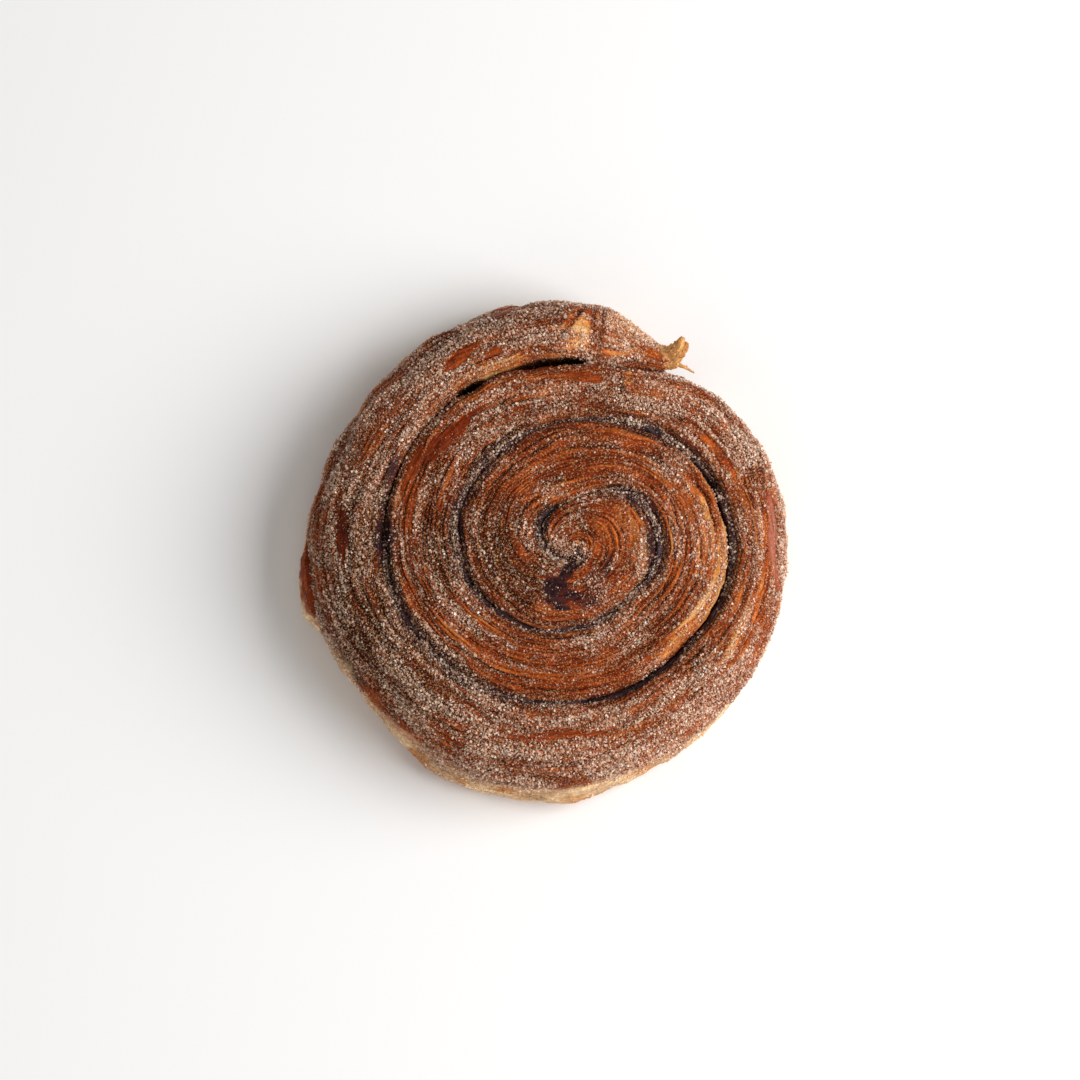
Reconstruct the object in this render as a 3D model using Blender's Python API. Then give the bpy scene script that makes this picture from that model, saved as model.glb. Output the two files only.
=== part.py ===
"""Cinnamon roll: one long strip of laminated dough, coiled on edge, with a dark filling between its turns.

The strip and the filling are swept round the coil's heart. Angles run outwards from the heart along
the strip, in degrees, and a place on the strip turns clockwise seen from above as its angle grows.
"""

import math

import bmesh
import bpy
from mathutils import Vector

MM = 0.001

# The spiral seam between the turns
PITCH = 16.5                    # growth of the seam's radius in one turn
HEART_RADIUS = 0.4              # radius that the spiral would have at angle 0
SEAM_END = 1014                 # angle where the strip ends in its torn tail
# How far the seam stands off the spiral, each 45 degrees round from +X
SEAM_SWING = (2.0, 1.9, 0.3, 1.0, 2.0, -0.2, -2.0, -1.8)
SWING_FADE = (250, 320)         # angles over which the swing sets in
HEART_HOOK = (70, 230, 0.4)     # the seam's tight start: from angle, to angle, share of the radius
HEART_DENT = (262, 32, 2.0)     # the heart is flatter on one side: at angle, half width, depth
TAIL_PINCH = (942, 1015, 3.2)   # the tail is pressed against the coil: from angle, to angle, by how much
TAIL_INSIDE = (998, 1020, 3.6)  # the tail narrows at its inner side: from angle, to angle, by how much
TAIL_OUTSIDE = (992, 1018, 4.6)
TAIL_RAGGED = 0.9               # how uneven the torn end is, in degrees

# The outside of the last turn, each 30 degrees from beside the tail's end round to the tail
RIM_RADII = (49.2, 49.6, 48.0, 47.8, 49.0, 54.0, 57.0, 57.9, 61.7, 60.6, 61.0, 60.0, 57.5)
RIM_START = 1020
RIM_STEP = 30

# Heights
CROWN_HEIGHT = 35.0             # top of the heart
SHOULDER_HEIGHT = 27.5          # top of the last turn
DOME_RADIUS = 52.0
DOME_POWER = 1.7
SEAM_DEPTH = 3.6                # how far a turn rounds down into the seam
SEAM_POWER = 5                  # how tight that rounding is
RIM_DROP = 15.0                 # how far the last turn rounds down to its belly
RIM_POWER = 2.3
RIM_CREST = 0.34                # where the last turn is highest, as a share of its width
TAIL_DROP = (985, 1016, 0.55)   # the tail thins out: from angle, to angle, share of its height

# Slot and filling
CLEARANCE = 0.3
SLOT_OPENING = 90               # angle over which the slot opens from the heart
FILLING_SPAN = (34, 1004)
FILLING_THICKNESS = 1.5
FILLING_SWELL = 0.5             # the filling is thicker and thinner by this
FILLING_LEAST = 0.6             # its thickness at both ends
FILLING_FOOT = 0.6              # height of the filling's lower edge
FILLING_PROUD = 1.0             # how far the filling stands up in the seam
FILLING_LUMP = 0.35
FILLING_SINK = (900, 935, 12.0)     # beside the tail it lies deep: from angle, to angle, how deep
BARE_GROOVES = ((670, 820, 0.9), (905, 1030, 0.5))  # gaps beside the filling: from angle, to angle, width
GROOVE_DEPTH = 9.0              # depth of those gaps below the filling's top

# Relief
RIDGE_HEIGHT = 0.45             # dough layers that stand up along a turn
RIDGE_START = 0.16              # first of them, as a share of the turn's width
RIDGE_GAP = 0.068               # from a ridge to the next furrow
RIDGE_DRIFT = 0.018             # how far the ridges wander sideways
LUMP_HEIGHT = 0.5               # a turn's slow rise and fall
CREASE = (994, 2.2, 1.8)        # fold across the tail: at angle, half width in degrees, depth
BELLY_LEDGE = (1115, 1240, 1.5)     # the belly stands out under the crust: from angle, to angle, by how much

# Sampling
STATION_RUNS = ((-360, 0, 36), (0, 360, 45), (360, 960, 100), (960, SEAM_END, 22))  # from, to, sections
TOP_SHARES = (0.0, 0.025, 0.08) + tuple(RIDGE_START + RIDGE_GAP * i for i in range(11)) + (0.92, 0.975, 1.0)
WALL_SHARES = (0.0, 0.26, 0.52, 0.78)
BELLY_SHARES = (0.0, 0.16, 0.5, 0.86)
BELLY_INSETS = (3.4, 1.3, 0.0, 0.35)

# Loose layers and torn ends
# A flap's broken end, other end, lower edge, upper edge and how far it stands out
BACK_FLAP = (1341, 1320, 4.0, 13.0, 1.7)
SIDE_FLAP = (1244, 1268, 3.0, 15.0, 3.4)
FLAP_ROOT = 3.0                 # how deep a flap is rooted in the wall
FLAP_CORNER = 0.22              # where along it a flap stands out most
FLAP_SECTIONS = 9
# Radius, angle and height of the points along a torn tip, and its width and thickness there
HORN_PATH = ((50.4, 1007, 11.0), (51.2, 1011.5, 12.5), (52.2, 1014.5, 14.5), (53.8, 1016.6, 17.0),
             (56.2, 1017.4, 19.0))
HORN_SIZES = ((5.0, 8.0), (4.2, 6.0), (3.2, 4.2), (2.2, 3.0), (1.2, 1.7))
SLIVER_PATH = ((50.6, 1011, 9.0), (51.8, 1015, 9.6), (52.2, 1018, 9.0), (51.9, 1021.7, 7.8))
SLIVER_SIZES = ((2.6, 3.4), (1.7, 2.4), (1.1, 1.5), (0.6, 0.8))
TIP_SIDES = 8

DOUGH_COLOUR = (0.42, 0.15, 0.05)
FILLING_COLOUR = (0.035, 0.02, 0.02)


def smooth_step(x, low, high):
    """0 below low, 1 above high, and a smooth rise between them."""
    t = min(1.0, max(0.0, (x - low) / (high - low)))
    return t * t * (3 - 2 * t)


def smooth_list(values, x, closed):
    """A smooth curve through evenly spaced values, read at position x, which counts in values."""
    count = len(values)
    i = math.floor(x)
    t = x - i

    def value(k):
        return values[k % count] if closed else values[min(count - 1, max(0, k))]

    a, b, c, d = (value(i + k) for k in (-1, 0, 1, 2))
    bend = (2 * a - 5 * b + 4 * c - d) * t ** 2 + (3 * b - a - 3 * c + d) * t ** 3
    return 0.5 * (2 * b + (c - a) * t + bend)


def seam_radius(angle):
    """Radius of the seam between two turns at an angle along it."""
    if angle <= 0:
        return 0.0
    spiral = HEART_RADIUS * smooth_step(angle, 0, 60) + PITCH * angle / 360
    low, high, share = HEART_HOOK
    hook = share + (1 - share) * smooth_step(angle, low, high)
    swing = smooth_list(SEAM_SWING, (-angle / 45) % 8, True) * smooth_step(angle, *SWING_FADE)
    place, half, depth = HEART_DENT
    dent = depth * math.exp(-((angle - place) / half) ** 2)
    low, high, push = TAIL_PINCH
    return spiral * hook + swing - dent - push * smooth_step(angle, low, high)


def rim_radius(angle):
    """Radius of the outside of the last turn, at an angle counted as if the seam went on."""
    return smooth_list(RIM_RADII, (angle - RIM_START) / RIM_STEP, False)


def rise_and_fall(angle, start, end, ramp):
    """0 outside a span of angles and 1 inside it, with a smooth ramp at both of its ends."""
    return smooth_step(angle, start, start + ramp) * smooth_step(-angle, -end, ramp - end)


def filling_thickness(angle):
    """Thickness of the filling at an angle along the seam, thin at both of its ends."""
    swell = 0.6 * math.sin(math.radians(2.3 * angle + 40)) + 0.4 * math.sin(math.radians(5.1 * angle))
    full = FILLING_THICKNESS + FILLING_SWELL * swell
    return FILLING_LEAST + (full - FILLING_LEAST) * rise_and_fall(angle, *FILLING_SPAN, 80)


def bare_groove(angle):
    """Width of the bare gap beside the filling."""
    return sum(width * rise_and_fall(angle, start, end, 25) for start, end, width in BARE_GROOVES)


def slot_width(angle):
    """Width of the slot that holds the filling, with a clearance on each side of it."""
    opening = smooth_step(angle, 0, SLOT_OPENING)
    return (filling_thickness(angle) + 2 * CLEARANCE + bare_groove(angle)) * opening


def dome(radius):
    """Height of the roll's overall dome at a radius from the heart."""
    share = min(1.2, radius / DOME_RADIUS) ** DOME_POWER
    return CROWN_HEIGHT - (CROWN_HEIGHT - SHOULDER_HEIGHT) * share


def strip_sides(angle):
    """Inner and outer radius of the dough strip at an angle, and 0 to 1 for how free its outer side is."""
    inner = seam_radius(angle) + slot_width(angle) / 2 if angle > 0 else 0.0
    outside = angle + 360
    free = smooth_step(outside, SEAM_END - 6, SEAM_END + 14)
    pressed = max(0.0, seam_radius(min(outside, SEAM_END)) - slot_width(min(outside, SEAM_END)) / 2)
    outer = pressed + (rim_radius(outside) - pressed) * free
    inner += TAIL_INSIDE[2] * smooth_step(angle, *TAIL_INSIDE[:2])
    outer -= TAIL_OUTSIDE[2] * smooth_step(angle, *TAIL_OUTSIDE[:2])
    return inner, outer, free


def rounding(x, power):
    """How far a rounded edge has dropped, 0 to 1, when x runs from 0 on the flat to 1 at the edge."""
    return 1 - math.sqrt(max(0.0, 1 - max(0.0, x) ** power))


def ridge(angle, share):
    """Height of the dough layers that stand up along a turn, none at the turn's sides."""
    strength = 0.7 + 0.3 * math.sin(math.radians(1.7 * angle) + 9 * share)
    wave = math.cos(math.pi * (share - RIDGE_START) / RIDGE_GAP)
    return RIDGE_HEIGHT * strength * wave * smooth_step(share, 0.08, 0.16) * smooth_step(-share, -0.92, -0.84)


def lump(angle, share):
    """A turn's slow rise and fall, none at the turn's sides."""
    along = math.radians(angle)
    wave = 0.6 * math.sin(3.1 * along + 2 * share) + 0.4 * math.sin(7.3 * along - 3 * share)
    return LUMP_HEIGHT * wave * math.sin(math.pi * share)


def top_height(angle, share, inner, outer, free):
    """Height of the strip's top at a share of its width, 0 at its inner side."""
    radius = inner + (outer - inner) * share
    seamed = smooth_step(angle, 0, SLOT_OPENING)
    inside = SEAM_DEPTH * rounding(1 - 2 * share, SEAM_POWER) * seamed
    pressed = SEAM_DEPTH * rounding(2 * share - 1, SEAM_POWER)
    rim = RIM_DROP * rounding((share - RIM_CREST) / (1 - RIM_CREST), RIM_POWER)
    low, high, left = TAIL_DROP
    thin = 1 - (1 - left) * smooth_step(angle, low, high)
    place, half, depth = CREASE
    fold = depth * math.exp(-((angle - place) / half) ** 2)
    relief = (ridge(angle, share) + lump(angle, share)) * min(1.0, (outer - inner) / 10)
    return (dome(radius) - inside - pressed * (1 - free) - rim * free + relief) * thin - fold


def strip_section(angle):
    """One section of the strip as (radius, height) points: up its inner side, over its top and down again."""
    inner, outer, free = strip_sides(angle)
    first = top_height(angle, 0.0, inner, outer, free)
    last = top_height(angle, 1.0, inner, outer, free)
    start, end, width = BELLY_LEDGE
    ledge = width * rise_and_fall(angle + 360, start, end, 30) * free
    points = [(inner, first * s) for s in WALL_SHARES]
    for share in TOP_SHARES:
        drift = RIDGE_DRIFT * math.sin(math.radians(4.3 * angle) + 5 * share) * math.sin(math.pi * share)
        radius = inner + (outer - inner) * (share + drift) - ledge * share
        points.append((radius, top_height(angle, share, inner, outer, free)))
    for plain, belly, inset in reversed(list(zip(WALL_SHARES, BELLY_SHARES, BELLY_INSETS))):
        height = last * (plain + (belly - plain) * free)
        points.append((max(inner, outer - inset * free), height))
    points.append(((inner + outer) / 2, 0.0))
    return points


def at(angle, radius, height):
    """A place round the heart as a point in metres."""
    turn = math.radians(-angle)
    return Vector((radius * math.cos(turn), radius * math.sin(turn), height)) * MM


def station_angles():
    """Angles of the strip's sections from the heart to the torn end of the tail."""
    angles = [STATION_RUNS[0][0]]
    for start, end, count in STATION_RUNS:
        angles += [start + (end - start) * (i + 1) / count for i in range(count)]
    return angles


def swept_mesh(name, sections):
    """A closed mesh through rings of points, filled at its first and last ring. Points that meet are merged."""
    mesh = bmesh.new()
    rings = [[mesh.verts.new(p) for p in section] for section in sections]
    for one, other in zip(rings, rings[1:]):
        for i in range(len(one)):
            k = (i + 1) % len(one)
            mesh.faces.new((one[i], one[k], other[k], other[i]))
    mesh.faces.new(reversed(rings[0]))
    mesh.faces.new(rings[-1])
    bmesh.ops.remove_doubles(mesh, verts=mesh.verts, dist=1e-7)
    bmesh.ops.triangulate(mesh, faces=mesh.faces)
    bmesh.ops.dissolve_degenerate(mesh, edges=mesh.edges, dist=1e-8)
    bmesh.ops.recalc_face_normals(mesh, faces=mesh.faces)
    data = bpy.data.meshes.new(name)
    mesh.to_mesh(data)
    mesh.free()
    return data


def add_object(name, data, parent=None):
    """An object in the scene that shows a mesh."""
    thing = bpy.data.objects.new(name, data)
    bpy.context.scene.collection.objects.link(thing)
    thing.parent = parent
    return thing


def coil_mesh():
    """The coiled strip without its flaps and torn ends."""
    sections = []
    for angle in station_angles():
        ring = []
        for i, (radius, height) in enumerate(strip_section(angle)):
            ragged = TAIL_RAGGED * math.sin(2.4 * i) * smooth_step(angle, SEAM_END - 8, SEAM_END)
            ring.append(at(angle + ragged, radius, height))
        sections.append(ring)
    return swept_mesh("pastry_coil", sections)


def filling_mesh():
    """The band of filling in the slot between the turns, as wide as the slot at its foot."""
    sections = []
    for angle in (a for a in station_angles() if FILLING_SPAN[0] <= a <= FILLING_SPAN[1]):
        opening = smooth_step(angle, 0, SLOT_OPENING)
        middle, half = seam_radius(angle), slot_width(angle) / 2 - CLEARANCE * opening
        outer, foot_inner = middle + half, middle - half
        inner = outer - filling_thickness(angle) * opening
        lumps = FILLING_LUMP * (math.sin(math.radians(31 * angle)) + math.sin(math.radians(13 * angle + 50)))
        start, end, depth = FILLING_SINK
        top = dome(middle) - SEAM_DEPTH + FILLING_PROUD + lumps - depth * smooth_step(angle, start, end)
        step, side = top - GROOVE_DEPTH, top - 1.0
        sections.append([at(angle, r, z) for r, z in (
            (foot_inner, FILLING_FOOT), (foot_inner, step), (inner, step + 1.0), (inner, side),
            ((inner + outer) / 2, top), (outer, side), (outer, step), (outer, FILLING_FOOT))])
    return swept_mesh("cinnamon_filling", sections)


def flap_mesh(name, span):
    """A loose layer of dough that stands out of the last turn's wall, farthest near its broken end."""
    start, end, low, high, proud = span
    sections = []
    for i in range(FLAP_SECTIONS + 1):
        share = i / FLAP_SECTIONS
        angle = start + (end - start) * share
        wall = rim_radius(angle) - BELLY_INSETS[-1]
        out = proud * min(share / FLAP_CORNER, ((1 - share) / (1 - FLAP_CORNER)) ** 0.8)
        rise = (high - low) * (0.35 + 0.65 * math.sin(math.pi * (0.15 + 0.7 * share)))
        sections.append([at(angle, r, z) for r, z in (
            (wall - FLAP_ROOT, low), (wall - FLAP_ROOT, low + rise), (wall + 0.4 * out, low + rise),
            (wall + out, low + 0.5 * rise), (wall + 0.8 * out, low))])
    return swept_mesh(name, sections)


def tip_mesh(name, path, sizes):
    """A torn tip of dough: a bent, tapering tongue along a path of (radius, angle, height) points."""
    points = [at(angle, radius, height) for radius, angle, height in path]
    sections = []
    for i, point in enumerate(points):
        along = (points[min(i + 1, len(points) - 1)] - points[max(i - 1, 0)]).normalized()
        side = along.cross(Vector((0, 0, 1))).normalized()
        up = side.cross(along)
        wide, thick = sizes[i]
        ring = []
        for k in range(TIP_SIDES):
            turn = 2 * math.pi * k / TIP_SIDES
            ring.append(point + (side * math.cos(turn) * wide / 2 + up * math.sin(turn) * thick / 2) * MM)
        sections.append(ring)
    return swept_mesh(name, sections)


def join_to(body, pieces):
    """Joins pieces to a body with one Boolean union and removes them."""
    group = bpy.data.collections.new("joined pieces")
    for piece in pieces:
        bpy.context.scene.collection.objects.unlink(piece)
        group.objects.link(piece)
    union = body.modifiers.new("Union", "BOOLEAN")
    union.operation = "UNION"
    union.operand_type = "COLLECTION"
    union.collection = group
    union.solver = "MANIFOLD"
    evaluated = body.evaluated_get(bpy.context.evaluated_depsgraph_get())
    joined = bpy.data.meshes.new_from_object(evaluated)
    body.modifiers.remove(union)
    joined.name = body.name
    body.data = joined
    for piece in pieces:
        bpy.data.objects.remove(piece)
    bpy.data.collections.remove(group)


def finish_material(name, colour, roughness):
    """A plain material with the part's colour."""
    material = bpy.data.materials.new(name)
    material.use_nodes = True
    shader = material.node_tree.nodes["Principled BSDF"]
    shader.inputs["Base Color"].default_value = (*colour, 1)
    shader.inputs["Roughness"].default_value = roughness
    shader.inputs["Metallic"].default_value = 0
    material.diffuse_color = (*colour, 1)
    return material


def shade(thing, material, sharp_angle):
    """Gives an object its material and smooth shading with sharp creases."""
    thing.data.materials.clear()
    thing.data.materials.append(material)
    thing.data.shade_smooth()
    thing.data.set_sharp_from_angle(angle=math.radians(sharp_angle))


def main():
    """Builds the roll with its base centred on the origin."""
    for thing in list(bpy.data.objects):
        bpy.data.objects.remove(thing)
    base = bpy.data.objects.new("roll", None)
    bpy.context.scene.collection.objects.link(base)

    coil = add_object("pastry_coil", coil_mesh(), base)
    join_to(coil, [
        add_object("back_flap", flap_mesh("back_flap", BACK_FLAP)),
        add_object("side_flap", flap_mesh("side_flap", SIDE_FLAP)),
        add_object("torn_horn", tip_mesh("torn_horn", HORN_PATH, HORN_SIZES)),
        add_object("torn_sliver", tip_mesh("torn_sliver", SLIVER_PATH, SLIVER_SIZES)),
    ])
    filling = add_object("cinnamon_filling", filling_mesh(), base)
    shade(coil, finish_material("browned_dough", DOUGH_COLOUR, 0.55), 40)
    shade(filling, finish_material("dark_filling", FILLING_COLOUR, 0.4), 50)

    corners = [v.co for v in coil.data.vertices]
    middle = [(min(c[k] for c in corners) + max(c[k] for c in corners)) / 2 for k in range(2)]
    base.location = (-middle[0], -middle[1], 0)


main()
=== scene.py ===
"""Cinnamon roll, dressed: the browned coil of laminated dough, its dark filling and its coat of sugar.

The dough is one sheet swept along the coiled strip. A place on it is named in three ways that the classes
share. Its angle counts along the strip from the heart outwards, in degrees, and turns clockwise seen from
above. Its share runs across the strip: -1 to 0 up the inner wall, 0 to 1 over the top, 1 to 2 down the
outer wall. A place as the camera sees it is in millimetres right of and above the heart's top.
"""

from __future__ import annotations

import logging
import math
from abc import ABC, abstractmethod
from dataclasses import dataclass
from enum import Enum

import bpy
import numpy as np
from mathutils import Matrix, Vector


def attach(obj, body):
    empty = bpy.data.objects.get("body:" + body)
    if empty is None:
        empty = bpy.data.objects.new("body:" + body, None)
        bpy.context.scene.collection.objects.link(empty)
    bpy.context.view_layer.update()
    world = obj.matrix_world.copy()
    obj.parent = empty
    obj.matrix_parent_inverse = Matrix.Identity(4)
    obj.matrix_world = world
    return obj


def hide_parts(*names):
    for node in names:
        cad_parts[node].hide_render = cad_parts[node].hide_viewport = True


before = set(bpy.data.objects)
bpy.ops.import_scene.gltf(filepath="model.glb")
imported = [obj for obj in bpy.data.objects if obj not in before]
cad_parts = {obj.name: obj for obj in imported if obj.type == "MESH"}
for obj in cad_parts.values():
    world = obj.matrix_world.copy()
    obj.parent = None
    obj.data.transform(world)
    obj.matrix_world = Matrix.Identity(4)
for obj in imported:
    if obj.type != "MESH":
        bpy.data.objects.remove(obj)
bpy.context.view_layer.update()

MM = 0.001
BODY = "root"
VIEW_ELEVATION = 80.0

Array = np.ndarray
Colour = tuple[float, float, float]

log = logging.getLogger("cinnamon_roll")


def from_screen(red: int, green: int, blue: int) -> Colour:
    """Turns a colour as a screen shows it, 0 to 255, into a linear one.

    Args:
        red: Red value.
        green: Green value.
        blue: Blue value.

    Returns:
        The linear red, green and blue, 0 to 1.
    """
    def linear(value: int) -> float:
        """One channel made linear."""
        share = value / 255
        return share / 12.92 if share <= 0.04045 else ((share + 0.055) / 1.055) ** 2.4

    return linear(red), linear(green), linear(blue)


def smooth_step(x: Array, low: float, high: float) -> Array:
    """A smooth rise from 0 at low to 1 at high.

    Args:
        x: Where to read it.
        low: End of the flat at 0.
        high: Start of the flat at 1.

    Returns:
        Values from 0 to 1, shaped like x.
    """
    t = np.clip((x - low) / (high - low), 0.0, 1.0)
    return t * t * (3 - 2 * t)


def rise_and_fall(x: Array, start: float, end: float, ramp: float) -> Array:
    """1 between two ends and 0 outside them, with a smooth ramp inside each end.

    Args:
        x: Where to read it.
        start: Lower end.
        end: Upper end.
        ramp: Length of a ramp.

    Returns:
        Values from 0 to 1, shaped like x.
    """
    return smooth_step(x, start, start + ramp) * smooth_step(-x, -end, ramp - end)


def hill(x: Array, place: float, half: float) -> Array:
    """A rounded hill of height 1 at a place, with a half width."""
    return np.exp(-(((x - place) / half) ** 2))


def blend(low: Array, high: Array, share: Array) -> Array:
    """Goes from low to high as share goes from 0 to 1."""
    return low + (high - low) * share


def rounding(x: Array, power: float) -> Array:
    """How far a rounded edge has dropped, 0 to 1, when x runs from 0 on the flat to 1 at the edge."""
    return 1 - np.sqrt(np.clip(1 - np.clip(x, 0, 1) ** power, 0, 1))


def smooth_list(values: tuple[float, ...], x: Array, closed: bool = False) -> Array:
    """A smooth curve through evenly spaced values.

    Args:
        values: The values.
        x: Where to read the curve, counted in values.
        closed: Whether the last value is followed by the first.

    Returns:
        The curve's values, shaped like x.
    """
    table = np.asarray(values)
    base = np.floor(x).astype(int)
    t = x - base

    def value(k: int) -> Array:
        """The values that lie k places after the base."""
        place = base + k
        return table[place % len(table)] if closed else table[np.clip(place, 0, len(table) - 1)]

    a, b, c, d = (value(k) for k in (-1, 0, 1, 2))
    bend = (2 * a - 5 * b + 4 * c - d) * t ** 2 + (3 * b - a - 3 * c + d) * t ** 3
    return 0.5 * (2 * b + (c - a) * t + bend)


@dataclass(frozen=True)
class Noise:
    """Smooth seeded unevenness in up to three directions."""

    seed: int
    octave_shift: float = 7.3

    def corner(self, i: Array, j: Array, k: Array) -> Array:
        """Random values at whole-number places.

        Args:
            i: First whole number of each place.
            j: Second whole number.
            k: Third whole number.

        Returns:
            Values from -1 to 1.
        """
        mixed = i.astype(np.uint64) * np.uint64(73856093)
        mixed ^= j.astype(np.uint64) * np.uint64(19349663)
        mixed ^= k.astype(np.uint64) * np.uint64(83492791)
        mixed ^= np.uint64(self.seed * 2654435761 % 2 ** 32)
        mixed &= np.uint64(0xFFFFFFFF)
        for shift, factor in ((15, 2246822519), (13, 3266489917)):
            mixed ^= mixed >> np.uint64(shift)
            mixed = (mixed * np.uint64(factor)) & np.uint64(0xFFFFFFFF)
        mixed ^= mixed >> np.uint64(16)
        return mixed.astype(float) / 2147483647.5 - 1

    def at(self, x: Array, y: Array | float = 0.0, z: Array | float = 0.0) -> Array:
        """Unevenness with bumps about one unit wide.

        Args:
            x: First coordinate.
            y: Second coordinate.
            z: Third coordinate.

        Returns:
            Values from -1 to 1, in the coordinates' common shape.
        """
        places = np.broadcast_arrays(x, y, z)
        bases = [np.floor(p) for p in places]
        shares = [p - b for p, b in zip(places, bases)]
        shares = [s * s * s * (s * (s * 6 - 15) + 10) for s in shares]
        cells = [b.astype(np.int64) for b in bases]
        total = np.zeros(places[0].shape)
        for di in (0, 1):
            for dj in (0, 1):
                for dk in (0, 1):
                    weight = np.ones(places[0].shape)
                    for share, far in zip(shares, (di, dj, dk)):
                        weight = weight * (share if far else 1 - share)
                    total += weight * self.corner(cells[0] + di, cells[1] + dj, cells[2] + dk)
        return total

    def rough(self, x: Array, y: Array | float = 0.0, z: Array | float = 0.0) -> Array:
        """Unevenness at three sizes, each half as wide and half as strong as the one before.

        Args:
            x: First coordinate, in widths of the largest bumps.
            y: Second coordinate.
            z: Third coordinate.

        Returns:
            Values from -1 to 1, in the coordinates' common shape.
        """
        scales = (1.0, 2.0, 4.0)
        total = 0.0
        for octave, scale in enumerate(scales):
            total = total + self.at(x * scale + self.octave_shift * octave, y * scale, z * scale) / scale
        return total / sum(1 / scale for scale in scales)


@dataclass
class Sheet:
    """A surface swept along the strip as a grid: stations along it by places across it."""

    angle: Array
    share: Array
    along: Array
    across: Array
    radius: Array
    height: Array
    out_radius: Array
    out_height: Array
    width: Array
    free: Array
    seen_right: Array
    seen_up: Array


@dataclass
class Ground:
    """A surface that sugar falls on: a grid of points, their tints and how thickly sugar lies there."""

    points: Array
    tint: Array
    sugar: Array


class Place(ABC):
    """An oval place on the roll with a soft, ragged edge."""

    strength: float
    edge_start: float = 1.4
    edge_end: float = 0.55
    edge_raggedness: float = 0.4

    @abstractmethod
    def distance(self, sheet: Sheet) -> Array:
        """How far each point of a surface lies from the place's middle, 1 at its edge."""

    def cover(self, sheet: Sheet, raggedness: Array) -> Array:
        """How strongly the place covers a surface.

        Args:
            sheet: The surface.
            raggedness: Unevenness of the place's edge, about -1 to 1.

        Returns:
            Values from 0 to the place's strength.
        """
        distance = self.distance(sheet) + self.edge_raggedness * raggedness
        return self.strength * smooth_step(-distance, -self.edge_start, -self.edge_end)


@dataclass(frozen=True)
class Patch(Place):
    """A place named by its angle along the strip and its share across it."""

    angle: float
    share: float
    half_angle: float
    half_share: float
    strength: float = 1.0

    def distance(self, sheet: Sheet) -> Array:
        """How far each point of a surface lies from the patch's middle, 1 at its edge."""
        along = (sheet.angle - self.angle) / self.half_angle
        return np.hypot(along, (sheet.share - self.share) / self.half_share)


@dataclass(frozen=True)
class Spot(Place):
    """A place named as the camera sees it, turned by some degrees."""

    right: float
    up: float
    half_right: float
    half_up: float
    turn: float = 0.0
    strength: float = 1.0

    def distance(self, sheet: Sheet) -> Array:
        """How far each point of a surface lies from the spot's middle, 1 at its edge.

        Args:
            sheet: The surface.

        Returns:
            The distances, shaped like the surface.
        """
        turn = math.radians(self.turn)
        right, up = sheet.seen_right - self.right, sheet.seen_up - self.up
        long = right * math.cos(turn) + up * math.sin(turn)
        short = up * math.cos(turn) - right * math.sin(turn)
        return np.hypot(long / self.half_right, short / self.half_up)


@dataclass(frozen=True)
class Crack:
    """A narrow cut along the strip from one (angle, share) to another."""

    start: tuple[float, float]
    end: tuple[float, float]
    half_width: float
    depth: float


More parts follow.
